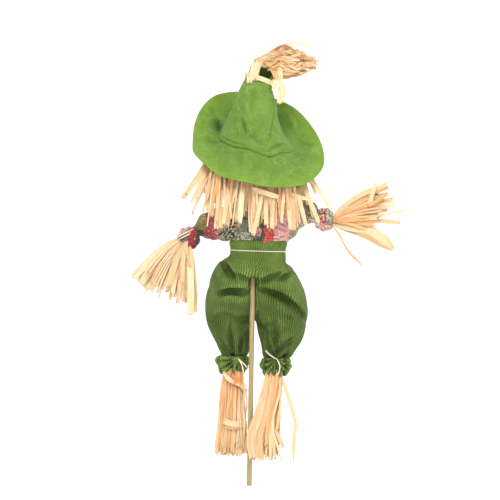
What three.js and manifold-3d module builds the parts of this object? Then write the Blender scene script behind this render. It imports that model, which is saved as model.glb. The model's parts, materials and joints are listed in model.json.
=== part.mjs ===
// A cloth and raffia scarecrow on a wooden stick, as used in flower pots.
//
// Millimetres, +Z up. The stick stands on the Z axis with its flat lower end at the origin. The face
// looks towards -Y, so the figure's left side is +X. The figure hangs a little to the right of its
// stick, which passes behind the legs, goes in at the seat and ends inside the head.

import * as THREE from 'three';
import { mergeVertices } from 'three/addons/utils/BufferGeometryUtils.js';
import Module from 'manifold-3d';

const wasm = await Module();
wasm.setup();

// Driving dimensions.
const STICK_RADIUS = 2.5;
const STICK_LENGTH = 324;
const STICK_BORE = 2.9;
const BODY_X = -4.6;
const CLOTH = 1.2;
const GAP = 0.35;

const HEAD_Z = 315;
const HEAD_RADIUS = 29;
const COVER_RADIUS = 30.6;
const NECK_RADIUS = 8;
const NECK_BOTTOM = 276;
const HAIR_OUT = 33.6;
const HAIR_WIDE = 12.4;

const SHIRT_BOTTOM = 226;
const SHIRT_TOP = 285;
const WAIST_Z = 234;
const WAISTBAND_TOP = 244;
const SEAT_BOTTOM = 206;
const SEAT_FLOOR = 222;

const SHOULDER_RADIUS = 13.5;
const SHOULDER_ROOM = 16.5;
const WRIST_RADIUS = 6.2;
const HIP_RADIUS = 15;
const HIP_ROOM = 17.5;
const ANKLE_RADIUS = 7.5;
const TIE_THREAD = 0.7;

const COARSE = 12;
const ROUND = 18;
const FINE = 24;
const BRIM_SIDES = 32;

// Where the limbs turn, which way they point, and how wide each leg is.
const ARMS = {
  left: {
    shoulder: [28, 0, 262],
    wrist: [66.5, 0, 246],
    hand: [0.35, 0, -0.94],
    handLength: 64,
    handSpread: 31,
  },
  right: {
    shoulder: [-37, 0, 268],
    wrist: [-77, 0, 265],
    hand: [-0.996, 0, 0.087],
    handLength: 70,
    handSpread: 31,
  },
};
const LEGS = {
  left: { hip: [17, -13, 208], ankle: [18.5, -13, 120], thighX: 24.6, thigh: 23.4 },
  right: { hip: [-23, -13, 208], ankle: [-25, -13, 120], thighX: -29, thigh: 25.6 },
};

const PALETTE = {
  wood: { color: 0xd7bf95, roughness: 0.75, metalness: 0 },
  raffia: { color: 0xf0c795, roughness: 0.6, metalness: 0 },
  hatFelt: { color: 0x7ea141, roughness: 0.85, metalness: 0 },
  trouserCloth: { color: 0x5e7138, roughness: 0.9, metalness: 0 },
  shirtCloth: { color: 0xb27a62, roughness: 0.85, metalness: 0 },
  string: { color: 0xf1ede0, roughness: 0.7, metalness: 0 },
  headCloth: { color: 0xe8cfa6, roughness: 0.9, metalness: 0 },
  foam: { color: 0xf6f6f2, roughness: 0.8, metalness: 0 },
  wadding: { color: 0xf3f1ea, roughness: 1, metalness: 0 },
  bead: { color: 0x15130f, roughness: 0.25, metalness: 0 },
  noseFelt: { color: 0xdd7a2e, roughness: 0.9, metalness: 0 },
  mouthThread: { color: 0x8c2f22, roughness: 0.8, metalness: 0 },
};

// Solids. Each helper returns a manifold, and addPiece turns the finished one into a named mesh.

function toSolid(geometry) {
  geometry.deleteAttribute('normal');
  geometry.deleteAttribute('uv');
  const merged = mergeVertices(geometry, 1e-4);
  const triangles = [];
  for (let i = 0; i < merged.index.count; i += 3) {
    const [a, b, c] = [0, 1, 2].map((k) => merged.index.getX(i + k));
    if (a !== b && b !== c && c !== a) {
      triangles.push(a, b, c);
    }
  }
  const mesh = new wasm.Mesh({
    numProp: 3,
    vertProperties: new Float32Array(merged.attributes.position.array),
    triVerts: new Uint32Array(triangles),
  });
  return new wasm.Manifold(mesh);
}

function toGeometry(solid) {
  const mesh = solid.getMesh();
  const geometry = new THREE.BufferGeometry();
  geometry.setAttribute('position', new THREE.BufferAttribute(mesh.vertProperties, 3));
  geometry.setIndex(new THREE.BufferAttribute(mesh.triVerts, 1));
  geometry.computeVertexNormals();
  return geometry;
}

// A closed skin over a row of elliptical rings, each placed by its centre. A ring may lean about Y, and
// its rim may drop towards the back or rise towards the left.
function skin(rings, sides = ROUND) {
  const profile = [new THREE.Vector2(0, 0)];
  rings.forEach((ring, i) => profile.push(new THREE.Vector2(1, i)));
  profile.push(new THREE.Vector2(0, rings.length - 1));
  const geometry = new THREE.LatheGeometry(profile, sides);
  const position = geometry.attributes.position;
  for (let i = 0; i < position.count; i += 1) {
    const ring = { x: 0, y: 0, lean: 0, back: 0, left: 0, ...rings[Math.round(position.getY(i))] };
    const across = position.getX(i);
    const rearward = -position.getZ(i);
    const lean = THREE.MathUtils.degToRad(ring.lean);
    const offset = across * ring.rx;
    const x = ring.x + offset * Math.cos(lean);
    const y = ring.y + rearward * ring.ry;
    const z = ring.z - offset * Math.sin(lean) - rearward * ring.back + across * ring.left;
    position.setXYZ(i, x, y, z);
  }
  return toSolid(geometry);
}

// The same rings, made smaller all round, for the inside of a shell.
function inset(rings, by) {
  return rings.map((ring) => ({ ...ring, rx: ring.rx - by, ry: ring.ry - by }));
}

// The same rings with the two end ones moved along Z, so that an inner solid cuts right through.
function stretched(rings, below, above) {
  return rings.map((ring, i) => {
    const shift = (i === 0 ? -below : 0) + (i === rings.length - 1 ? above : 0);
    return { ...ring, z: ring.z + shift };
  });
}

function ball(radius, x, y, z, sides = ROUND) {
  const geometry = new THREE.SphereGeometry(radius, sides, Math.round(sides * 0.6));
  geometry.rotateX(Math.PI / 2);
  geometry.translate(x, y, z);
  return toSolid(geometry);
}

function post(radius, bottom, top, x = 0, y = 0, sides = COARSE) {
  const geometry = new THREE.CylinderGeometry(radius, radius, top - bottom, sides);
  geometry.rotateX(Math.PI / 2);
  geometry.translate(x, y, (top + bottom) / 2);
  return toSolid(geometry);
}

function threadRing(radius, thickness, z) {
  const geometry = new THREE.TorusGeometry(radius, thickness, 5, ROUND);
  geometry.translate(0, 0, z);
  return toSolid(geometry);
}

function addPiece(parent, name, solid, finish) {
  const mesh = new THREE.Mesh(toGeometry(solid), new THREE.MeshStandardMaterial(PALETTE[finish]));
  mesh.name = name;
  parent.add(mesh);
}

const stickBore = post(STICK_BORE, -1, STICK_LENGTH + 1);

function addStick(figure) {
  addPiece(figure, 'stick', post(STICK_RADIUS, 0, STICK_LENGTH), 'wood');
}

// Head: a foam ball on the stick, a cloth cover gathered at the neck, and the face sewn on it.
function addHead(figure) {
  const foam = ball(HEAD_RADIUS, BODY_X, 0, HEAD_Z).subtract(stickBore);
  addPiece(figure, 'head_ball', foam, 'foam');

  const neckX = BODY_X / 2;
  const coverSkin = ball(COVER_RADIUS, BODY_X, 0, HEAD_Z, FINE)
    .add(post(NECK_RADIUS, NECK_BOTTOM, HEAD_Z - HEAD_RADIUS, neckX, 0));
  const coverInside = ball(HEAD_RADIUS + GAP, BODY_X, 0, HEAD_Z)
    .add(post(NECK_RADIUS - CLOTH, NECK_BOTTOM - 1, HEAD_Z - HEAD_RADIUS + 5, neckX, 0));
  addPiece(figure, 'head_cover', coverSkin.subtract(coverInside), 'headCloth');

  const thread = threadRing(NECK_RADIUS + GAP + TIE_THREAD, TIE_THREAD, NECK_BOTTOM + 4);
  addPiece(figure, 'neck_tie', thread.translate([neckX, 0, 0]), 'string');
}

// A point on the face, from its angle to the left of straight ahead and its angle above the middle.
function facePoint(leftDegrees, upDegrees, radius) {
  const left = THREE.MathUtils.degToRad(leftDegrees);
  const up = THREE.MathUtils.degToRad(upDegrees);
  const x = BODY_X + radius * Math.sin(left) * Math.cos(up);
  const y = -radius * Math.cos(left) * Math.cos(up);
  return new THREE.Vector3(x, y, HEAD_Z + radius * Math.sin(up));
}

// A turned piece that stands on the face: its profile runs outward from the cloth.
function addFacePiece(figure, name, profile, leftDegrees, upDegrees, finish) {
  const points = profile.map(([radius, height]) => new THREE.Vector2(radius, height));
  const geometry = new THREE.LatheGeometry(points, COARSE);
  const foot = facePoint(leftDegrees, upDegrees, COVER_RADIUS + GAP);
  const outward = facePoint(leftDegrees, upDegrees, 1).sub(facePoint(leftDegrees, upDegrees, 0));
  const turn = new THREE.Quaternion().setFromUnitVectors(new THREE.Vector3(0, 1, 0), outward);
  geometry.applyQuaternion(turn);
  geometry.translate(foot.x, foot.y, foot.z);
  addPiece(figure, name, toSolid(geometry), finish);
}

function addFace(figure) {
  const bead = [[0, 0], [2.3, 0], [2.5, 0.7], [1.9, 1.7], [1, 2.2], [0, 2.4]];
  addFacePiece(figure, 'eye_left', bead, 19, 6, 'bead');
  addFacePiece(figure, 'eye_right', bead, -19, 6, 'bead');
  const cone = [[0, 0], [3.2, 0], [3.1, 1.2], [2, 5], [0.9, 8.2], [0, 9]];
  addFacePiece(figure, 'nose', cone, 0, -4, 'noseFelt');

  const threadRadius = 0.5;
  const smile = [];
  for (let step = -4; step <= 4; step += 1) {
    const sweep = step / 4;
    const up = -27 + 10 * sweep * sweep;
    smile.push(facePoint(22 * sweep, up, COVER_RADIUS + GAP + threadRadius));
  }
  const section = new THREE.Shape();
  section.absarc(0, 0, threadRadius, 0, Math.PI * 2);
  const geometry = new THREE.ExtrudeGeometry(section, {
    steps: 16,
    curveSegments: 3,
    extrudePath: new THREE.CatmullRomCurve3(smile),
  });
  addPiece(figure, 'mouth', toSolid(geometry), 'mouthThread');
}

// Hair: flat bundles of raffia glued round the head under the hat. A bundle hangs at an angle round the
// head, counted from the figure's left towards its back.
function addHairBundle(figure, name, angle, bundle) {
  const group = new THREE.Group();
  group.position.set(BODY_X, 0, 0);
  group.rotation.z = THREE.MathUtils.degToRad(angle - 90);
  const middle = (bundle.top + bundle.bottom) / 2;
  const rings = [
    { z: bundle.bottom, y: bundle.out, rx: bundle.wide, ry: 1.9 },
    { z: middle, y: (bundle.out + HAIR_OUT) / 2, rx: (bundle.wide + HAIR_WIDE) / 2, ry: 2 },
    { z: bundle.top, y: HAIR_OUT, rx: HAIR_WIDE, ry: 1.7 },
  ];
  addPiece(group, name, skin(rings, COARSE), 'raffia');
  figure.add(group);
}

function addHair(figure) {
  const long = { bottom: 256, top: 320, out: 40.5, wide: 15 };
  const short = { bottom: 291, top: 330, out: 38, wide: 14 };
  addHairBundle(figure, 'hair_left', 0, short);
  addHairBundle(figure, 'hair_back_left', 45, long);
  addHairBundle(figure, 'hair_back', 90, { ...long, bottom: 251, top: 317 });
  addHairBundle(figure, 'hair_back_right', 135, long);
  addHairBundle(figure, 'hair_right', 180, short);

  const fringe = [
    { x: BODY_X, y: -34, z: 320, rx: 20, ry: 1.6 },
    { x: BODY_X, y: -32.4, z: 333, rx: 19, ry: 1.8 },
    { x: BODY_X, y: -27, z: 346, rx: 16, ry: 1.6 },
  ];
  addPiece(figure, 'hair_fringe', skin(fringe, COARSE), 'raffia');
}

// Hat: the crown is a soft cone, open at the tip, on a round brim that stands up at the front and
// droops at the back.
const CROWN = [
  { x: -2, y: 3, z: 342, rx: 36.9, ry: 29.9, back: 15, left: 4.5 },
  { x: -2, y: 3, z: 353, rx: 33.6, ry: 27, back: 11, left: 3.5 },
  { x: -2, y: 2.5, z: 367, rx: 28.6, ry: 22.5, back: 6, left: 2 },
  { x: -2.6, y: 2, z: 381, rx: 23.6, ry: 18.2, back: 3, left: 1 },
  { x: -3.2, y: 1.5, z: 394, rx: 18.9, ry: 14.4, back: 1 },
  { x: -5.2, y: 1, z: 405, rx: 15.8, ry: 12 },
  { x: -5.2, y: 1, z: 414, rx: 11, ry: 9 },
];
const BRIM_THICKNESS = 1.5;

// How far the brim is out (0 at the crown, 1 at its edge) and round (an angle from the figure's left
// towards its back) gives a point of its upper face.
function brimPoint(out, round) {
  const left = Math.cos(round);
  const back = Math.sin(round);
  const inner = new THREE.Vector3(-2 + 37.6 * left, 3 + 30.6 * back, 342.4 - 15 * back + 4.5 * left);
  const edgeZ = 345 - 48 * back + 8 * left - 10 * left * left;
  const edge = new THREE.Vector3(-4 + 65 * left, 7 + 45 * back, edgeZ);
  const belly = 5 * out * (1 - out);
  return inner.lerp(edge, out).add(new THREE.Vector3(0, belly * back, -belly));
}

function brimSolid() {
  const steps = 3;
  const profile = [];
  for (let i = 0; i <= steps; i += 1) {
    profile.push(new THREE.Vector2(1 + i / steps, 0));
  }
  for (let i = steps; i >= 0; i -= 1) {
    profile.push(new THREE.Vector2(1 + i / steps, 1));
  }
  profile.push(profile[0].clone());
  const geometry = new THREE.LatheGeometry(profile, BRIM_SIDES);
  const position = geometry.attributes.position;
  for (let i = 0; i < position.count; i += 1) {
    const round = Math.atan2(-position.getZ(i), position.getX(i));
    const out = Math.hypot(position.getX(i), position.getZ(i)) - 1;
    const point = brimPoint(out, round);
    const lean = THREE.MathUtils.lerp(0.35, 0.8, out) * Math.sin(round);
    const depth = (position.getY(i) - 1) * BRIM_THICKNESS;
    position.setXYZ(i, point.x, point.y + depth * lean, point.z + depth * Math.sqrt(1 - lean * lean));
  }
  return toSolid(geometry);
}

function addHat(figure) {
  const crown = skin(CROWN, FINE).subtract(skin(stretched(inset(CROWN, 1.3), 4, 3), FINE));
  addPiece(figure, 'hat_crown', crown, 'hatFelt');
  addPiece(figure, 'hat_brim', brimSolid(), 'hatFelt');

  const room = inset(CROWN.slice(0, 5), 1.9);
  room[0] = { ...room[0], z: room[0].z + 4, rx: room[0].rx - 2.5, ry: room[0].ry - 2.5 };
  const wadding = skin(room).subtract(ball(COVER_RADIUS + 0.6, BODY_X, 0, HEAD_Z));
  addPiece(figure, 'crown_wadding', wadding, 'wadding');

  const tuft = [
    { x: -4.6, y: 1, z: 396, rx: 6, ry: 6 },
    { x: -5.2, y: 1, z: 410, rx: 7.4, ry: 6.2, lean: -5 },
    { x: -8, y: 1, z: 420, rx: 10, ry: 8, lean: -30 },
    { x: -20, y: 0, z: 427, rx: 12.5, ry: 9, lean: -68 },
    { x: -36, y: 0, z: 429, rx: 11, ry: 8, lean: -92 },
    { x: -50, y: 0, z: 427, rx: 7.5, ry: 6, lean: -104 },
    { x: -61, y: 0, z: 424, rx: 3, ry: 3, lean: -108 },
  ];
  addPiece(figure, 'hat_tip_raffia', skin(tuft, COARSE), 'raffia');

  const band = [
    { x: -4.6, y: 1.2, z: 400.5, rx: 19.2, ry: 15 },
    { x: -5.1, y: 1.1, z: 404, rx: 18.3, ry: 14.3 },
  ];
  const tie = skin(band).subtract(skin(stretched(inset(band, 1.2), 1, 1)));
  addPiece(figure, 'hat_tip_tie', tie, 'raffia');
}

// Torso: a patchwork shirt over a soft filling, tucked into the trousers.
const SHIRT = [
  { x: -4.7, y: -4.4, z: SHIRT_BOTTOM, rx: 25, ry: 12.2 },
  { x: -4.7, y: -3, z: 236, rx: 25.8, ry: 13.2 },
  { x: -4.8, y: -2, z: 248, rx: 29, ry: 14.4 },
  { x: -5, y: -1, z: 262, rx: 33, ry: 15.5 },
  { x: -5, y: 0, z: 273, rx: 31, ry: 14.6 },
  { x: -4.6, y: 0, z: 280, rx: 21, ry: 13 },
  { x: -3.6, y: 0, z: SHIRT_TOP, rx: 13.4, ry: 12.4 },
];
const TROUSERS = [
  { x: -4.6, y: -12, z: SEAT_BOTTOM, rx: 25, ry: 13 },
  { x: -4.6, y: -9, z: 213, rx: 31, ry: 14.5 },
  { x: -4.2, y: -5.5, z: 223, rx: 32, ry: 15.6 },
  { x: -4.6, y: -3.2, z: WAIST_Z, rx: 27.9, ry: 15.2 },
  { x: -4.8, y: -2.4, z: WAISTBAND_TOP, rx: 30.4, ry: 16.8 },
];

function withoutShoulders(solid) {
  return Object.values(ARMS).reduce(
    (rest, arm) => rest.subtract(ball(SHOULDER_ROOM, ...arm.shoulder)),
    solid,
  );
}

function addTorso(figure) {
  const shirt = skin(SHIRT, FINE).subtract(skin(stretched(inset(SHIRT, CLOTH), 2, 2), FINE));
  addPiece(figure, 'shirt_body', withoutShoulders(shirt), 'shirtCloth');

  const fillingRings = inset(SHIRT.slice(0, 5), CLOTH + GAP);
  fillingRings[0] = { ...fillingRings[0], z: SHIRT_BOTTOM + 1 };
  const filling = withoutShoulders(skin(fillingRings).subtract(stickBore));
  addPiece(figure, 'torso_filling', filling, 'wadding');
}

function addSeat(figure) {
  const room = inset(TROUSERS.slice(2), CLOTH + 0.3);
  room[0] = { ...room[0], z: SEAT_FLOOR + 1 };
  const cut = skin(stretched(room, 0, 2), FINE);
  const hips = Object.values(LEGS).map((leg) => ball(HIP_ROOM, ...leg.hip));
  const seat = skin(TROUSERS, FINE).subtract(cut).subtract(stickBore).subtract(hips[0]).subtract(hips[1]);
  addPiece(figure, 'trousers_seat', seat, 'trouserCloth');

  const string = [
    { x: -4.6, y: -3.2, z: WAIST_Z - 0.9, rx: 29.6, ry: 16.9 },
    { x: -4.6, y: -3.2, z: WAIST_Z + 0.9, rx: 29.6, ry: 16.9 },
  ];
  const loop = skin(string, FINE).subtract(skin(stretched(inset(string, 0.9), 1, 1), FINE));
  addPiece(figure, 'waist_string', loop, 'string');
}

// A group whose +Z runs from one point towards another, and whose +Y is the figure's own.
function pointedGroup(from, direction) {
  const along = new THREE.Vector3(...direction).normalize();
  const rearward = new THREE.Vector3(0, 1, 0);
  const across = new THREE.Vector3().crossVectors(rearward, along);
  const group = new THREE.Group();
  group.quaternion.setFromRotationMatrix(new THREE.Matrix4().makeBasis(across, rearward, along));
  group.position.set(...from);
  return group;
}

// The rings of a round end about the group's origin, up to its widest.
function roundEnd(radius) {
  return [170, 150, 125, 100].map((degrees) => {
    const angle = THREE.MathUtils.degToRad(degrees);
    const ringRadius = radius * Math.sin(angle);
    return { z: radius * Math.cos(angle), rx: ringRadius, ry: ringRadius };
  });
}

// Arm: a puffed sleeve over a bundle of raffia, drawn in by elastic at the wrist. The raffia comes out
// there through a frill and spreads into a hand.
function addArm(figure, side) {
  const { shoulder, wrist, hand, handLength, handSpread } = ARMS[side];
  const direction = new THREE.Vector3(...wrist).sub(new THREE.Vector3(...shoulder));
  const reach = direction.length();
  const end = reach - 4;
  const arm = pointedGroup(shoulder, direction.toArray());
  const puff = [
    ...roundEnd(SHOULDER_RADIUS),
    { z: 8, rx: SHOULDER_RADIUS + 0.6, ry: SHOULDER_RADIUS },
    { z: 18, rx: SHOULDER_RADIUS + 0.8, ry: SHOULDER_RADIUS },
    { z: end - 9, rx: 10.5, ry: 9.8 },
    { z: end - 3.5, rx: WRIST_RADIUS, ry: WRIST_RADIUS },
    { z: end, rx: WRIST_RADIUS, ry: WRIST_RADIUS },
  ];
  const inside = inset(puff, CLOTH);
  inside[0] = { ...inside[0], z: inside[0].z + CLOTH, rx: 0.6, ry: 0.6 };
  const sleeve = skin(puff).subtract(skin(stretched(inside, 0, 2)));
  addPiece(arm, `sleeve_${side}`, sleeve, 'shirtCloth');
  addPiece(arm, `arm_raffia_${side}`, post(WRIST_RADIUS - CLOTH - 0.5, -8, end - 1), 'raffia');
  const elastic = threadRing(WRIST_RADIUS + GAP + TIE_THREAD, TIE_THREAD, end - 1.6);
  addPiece(arm, `wrist_tie_${side}`, elastic, 'string');
  figure.add(arm);

  const palm = pointedGroup(wrist, hand);
  const raffia = [
    { z: 0.5, rx: 3.6, ry: 3.6 },
    { z: 4, rx: 3.8, ry: 3.8 },
    { z: 12, rx: 7.4, ry: 5.4 },
    { z: 32, rx: 17, ry: 7.5 },
    { z: handLength, rx: handSpread, ry: 8 },
  ];
  addPiece(palm, `hand_raffia_${side}`, skin(raffia, COARSE), 'raffia');
  const frill = [
    { z: 2.6, rx: 5.2, ry: 5.2 },
    { z: 6, rx: 7.2, ry: 6.8 },
    { z: 11.5, rx: 10.6, ry: 8.6 },
  ];
  const cloth = skin(frill).subtract(skin(stretched(inset(frill, 0.9), 1, 1)));
  addPiece(palm, `sleeve_frill_${side}`, cloth, 'shirtCloth');
  figure.add(palm);
}

// Leg: a full trouser leg over a soft filling, gathered by string at the ankle. The raffia foot hangs
// there out of the frill below the string.
function addLeg(figure, side) {
  const { hip, ankle, thighX, thigh } = LEGS[side];
  const leg = new THREE.Group();
  leg.position.set(...hip);
  const middle = thighX - hip[0];
  const bottomX = ankle[0] - hip[0];
  const end = ankle[2] - hip[2] + 3;
  const cloth = [
    { x: bottomX, z: end, rx: ANKLE_RADIUS, ry: ANKLE_RADIUS },
    { x: bottomX, z: end + 5, rx: ANKLE_RADIUS, ry: ANKLE_RADIUS },
    { x: (bottomX * 2 + middle) / 3, z: end + 12, rx: thigh * 0.6, ry: 12 },
    { x: middle * 0.9, z: -53, rx: thigh * 0.83, ry: 14.6 },
    { x: middle, z: -34, rx: thigh, ry: 16 },
    { x: middle * 0.9, z: -20, rx: thigh * 0.92, ry: 15.6 },
    { x: middle * 0.45, z: -8, rx: thigh * 0.75, ry: 15.2 },
    { z: 0, rx: HIP_RADIUS, ry: HIP_RADIUS },
    { z: HIP_RADIUS * 0.5, rx: HIP_RADIUS * 0.86, ry: HIP_RADIUS * 0.86 },
    { z: HIP_RADIUS * 0.86, rx: HIP_RADIUS * 0.5, ry: HIP_RADIUS * 0.5 },
    { z: HIP_RADIUS * 0.98, rx: HIP_RADIUS * 0.16, ry: HIP_RADIUS * 0.16 },
  ];
  const hollow = inset(cloth.slice(0, 10), CLOTH);
  const trouser = skin(cloth, FINE).subtract(skin(stretched(hollow, 2, -CLOTH), FINE));
  addPiece(leg, `trouser_leg_${side}`, trouser, 'trouserCloth');

  const filling = inset(cloth.slice(1, 10), CLOTH + 0.4);
  addPiece(leg, `leg_filling_${side}`, skin(stretched(filling, 0, -CLOTH - 0.6)), 'wadding');

  const string = threadRing(ANKLE_RADIUS + GAP + TIE_THREAD, TIE_THREAD, end + 2.4);
  addPiece(leg, `ankle_tie_${side}`, string.translate([bottomX, 0, 0]), 'string');
  figure.add(leg);

  const foot = new THREE.Group();
  foot.position.set(...ankle);
  const raffia = [
    { y: 1, z: -92, rx: 15.5, ry: 9 },
    { y: 1, z: -60, rx: 14, ry: 8.6 },
    { y: 0.5, z: -24, rx: 10.5, ry: 7.5 },
    { z: -12, rx: 8, ry: 6.4 },
    { z: -4, rx: 4.8, ry: 4.8 },
    { z: -0.5, rx: 4.4, ry: 4.4 },
  ];
  addPiece(foot, `foot_raffia_${side}`, skin(raffia, COARSE), 'raffia');
  const frill = [
    { z: -12, rx: 14.6, ry: 11 },
    { z: -7, rx: 11.5, ry: 9.5 },
    { z: -2.4, rx: 6.8, ry: 6.8 },
  ];
  const cuff = skin(frill).subtract(skin(stretched(inset(frill, 1), 1, 1)));
  addPiece(foot, `cuff_frill_${side}`, cuff, 'trouserCloth');
  figure.add(foot);
}

const figure = new THREE.Group();
addStick(figure);
addHead(figure);
addFace(figure);
addHair(figure);
addHat(figure);
addTorso(figure);
addSeat(figure);
for (const side of ['left', 'right']) {
  addArm(figure, side);
  addLeg(figure, side);
}

export default figure;
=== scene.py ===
"""A cloth and raffia scarecrow on a wooden stick, seen from behind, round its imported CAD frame.

Lengths in the tables are millimetres in the frame's axes: +X the figure's left, -Y the way the face
looks, +Z up. mm() turns them into Blender's metres.
"""

import json
import math

import bmesh
import bpy
import numpy as np
from mathutils import Matrix, Vector
from mathutils.kdtree import KDTree


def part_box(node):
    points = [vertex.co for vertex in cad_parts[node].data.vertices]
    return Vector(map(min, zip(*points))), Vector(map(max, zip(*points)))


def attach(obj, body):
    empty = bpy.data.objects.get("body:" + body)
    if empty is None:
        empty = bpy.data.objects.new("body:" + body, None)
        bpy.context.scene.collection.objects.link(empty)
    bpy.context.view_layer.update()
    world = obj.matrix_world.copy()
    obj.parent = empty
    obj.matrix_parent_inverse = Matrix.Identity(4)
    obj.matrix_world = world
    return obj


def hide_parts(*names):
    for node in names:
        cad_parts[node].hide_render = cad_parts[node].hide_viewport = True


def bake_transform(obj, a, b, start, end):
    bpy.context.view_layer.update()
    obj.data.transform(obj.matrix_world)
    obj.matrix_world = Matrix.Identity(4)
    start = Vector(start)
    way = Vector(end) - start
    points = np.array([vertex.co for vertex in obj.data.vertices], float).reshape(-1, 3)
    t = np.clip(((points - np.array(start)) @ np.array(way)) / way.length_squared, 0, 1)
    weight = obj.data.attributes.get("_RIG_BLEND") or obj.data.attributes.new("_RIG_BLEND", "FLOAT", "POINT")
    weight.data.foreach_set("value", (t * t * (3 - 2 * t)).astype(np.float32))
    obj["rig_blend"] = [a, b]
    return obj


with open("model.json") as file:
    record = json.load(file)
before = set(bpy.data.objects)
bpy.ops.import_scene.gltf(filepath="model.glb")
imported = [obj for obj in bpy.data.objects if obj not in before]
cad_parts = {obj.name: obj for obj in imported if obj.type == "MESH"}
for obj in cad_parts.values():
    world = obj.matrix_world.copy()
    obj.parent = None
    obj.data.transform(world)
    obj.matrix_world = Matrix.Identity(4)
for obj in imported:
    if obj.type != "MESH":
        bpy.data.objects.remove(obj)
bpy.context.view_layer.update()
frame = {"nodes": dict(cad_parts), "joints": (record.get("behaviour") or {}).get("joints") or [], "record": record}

MM = 0.001
JOINTS = {joint["name"]: Vector(joint["pos_m"]) / MM for joint in frame["joints"]}
SIDES = ("left", "right")
REAR = np.array([0.0, 1.0, 0.0])


def mm(x, y, z):
    return Vector((x, y, z)) * MM


def box_mm(node):
    low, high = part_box(node)
    return low / MM, high / MM


def circle(count):
    """The angle, its cosine and its sine at each of count places round a circle."""
    for k in range(count):
        angle = 2 * math.pi * k / count
        yield angle, math.cos(angle), math.sin(angle)


def add_object(name, data):
    thing = bpy.data.objects.new(name, data)
    bpy.context.scene.collection.objects.link(thing)
    return thing


# ---------------------------------------------------------------- camera, floor and light

VIEW_WIDTH = 0.498
VIEW_CENTRE = mm(3.3, 0, 234.4)
VIEW_ROLL = math.radians(1.0)
FOCAL_LENGTH = 150
SENSOR = 36
LIGHT_AIM = (0, 0, 0.26)
WARM = (1, 0.97, 0.93)
WHITE = (1, 1, 1)
# Each soft light: its place, size in metres, power in watts and colour.
LIGHTS = {
    "key": ((0.15, 1.35, 1.6), 0.9, 23, WARM),
    "fill": ((-1.5, 1.0, 0.7), 1.0, 7, WHITE),
    "front_key": ((-0.9, -1.5, 1.2), 0.8, 15, WARM),
    "front_fill": ((1.4, -1.1, 0.4), 1.0, 6, WHITE),
}
WALL_LIGHT_SIZE = 1.4
WALL_LIGHT_POWER = 44
# The floor in metres: the radii of its flat rings, the radius where it starts to sweep up, how wide and high
# the sweep is, and the wall's top, as radius and height.
FLOOR_RADII = (0.6, 1.8)
SWEEP_START = 3
SWEEP_SIZE = 1.5
SWEEP_STEPS = 12
WALL_TOP = (4.5, 1.9)
FLOOR_SIDES = 64


def add_camera():
    data = bpy.data.cameras.new("camera")
    data.lens = FOCAL_LENGTH
    data.sensor_width = SENSOR
    data.clip_end = 50
    camera = add_object("camera", data)
    distance = VIEW_WIDTH * FOCAL_LENGTH / SENSOR
    looking = Matrix.Rotation(math.pi, 4, "Z") @ Matrix.Rotation(math.pi / 2, 4, "X")
    place = Matrix.Translation(VIEW_CENTRE + Vector((0, distance, 0)))
    camera.matrix_world = place @ Matrix.Rotation(VIEW_ROLL, 4, "Y") @ looking
    bpy.context.scene.camera = camera


def add_area_light(name, place, aim, size, power, colour=WHITE):
    data = bpy.data.lights.new(name, "AREA")
    data.shape = "DISK"
    data.size = size
    data.energy = power
    data.color = colour
    light = add_object(name, data)
    light.location = place
    light.rotation_euler = (Vector(aim) - Vector(place)).to_track_quat("-Z", "Y").to_euler()


def add_stage():
    """A pale floor that sweeps up into a wall on every side, far from the figure."""
    rings = [(radius, 0) for radius in FLOOR_RADII]
    for angle in np.linspace(0, math.pi / 2, SWEEP_STEPS + 1):
        rings.append((SWEEP_START + SWEEP_SIZE * math.sin(angle), SWEEP_SIZE * (1 - math.cos(angle))))
    rings.append(WALL_TOP)
    points = [(radius * c, radius * s, height) for radius, height in rings for _, c, s in circle(FLOOR_SIDES)]
    faces = [tuple(range(FLOOR_SIDES))] + [face[::-1] for face in grid_faces(len(rings), FLOOR_SIDES)]
    mesh = bpy.data.meshes.new("studio_floor")
    mesh.from_pydata(points, [], faces)
    mesh.polygons.foreach_set("use_smooth", [True] * len(mesh.polygons))
    floor = add_object("studio_floor", mesh)
    floor.location.z = -0.0002
    material = bpy.data.materials.new("studio_floor")
    material.use_nodes = True
    shader = material.node_tree.nodes["Principled BSDF"]
    shader.inputs["Base Color"].default_value = (0.93, 0.93, 0.925, 1)
    shader.inputs["Roughness"].default_value = 0.9
    mesh.materials.append(material)


def add_light():
    world = bpy.data.worlds.new("studio")
    world.use_nodes = True
    background = world.node_tree.nodes["Background"]
    background.inputs["Color"].default_value = (*WHITE, 1)
    background.inputs["Strength"].default_value = 0.6
    bpy.context.scene.world = world
    for name, (place, size, power, colour) in LIGHTS.items():
        add_area_light(name, place, LIGHT_AIM, size, power, colour)
    for side, (_, c, s) in enumerate(circle(4)):
        way = Vector((c, s, 0))
        place = way * 1.8 + Vector((0, 0, 2.6))
        aim = way * 4.4 + Vector((0, 0, 0.2))
        add_area_light(f"wall_{side}", place, aim, WALL_LIGHT_SIZE, WALL_LIGHT_POWER)
    bpy.context.scene.view_settings.view_transform = "Standard"


# ---------------------------------------------------------------- materials


def rgba(colour):
    """A colour like "7ea141", or a grey from 0 to 1, as linear light."""
    if not isinstance(colour, str):
        return (colour, colour, colour, 1)
    parts = [int(colour[i : i + 2], 16) / 255 for i in (0, 2, 4)]
    return (*(p / 12.92 if p <= 0.04045 else ((p + 0.055) / 1.055) ** 2.4 for p in parts), 1)


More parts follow.
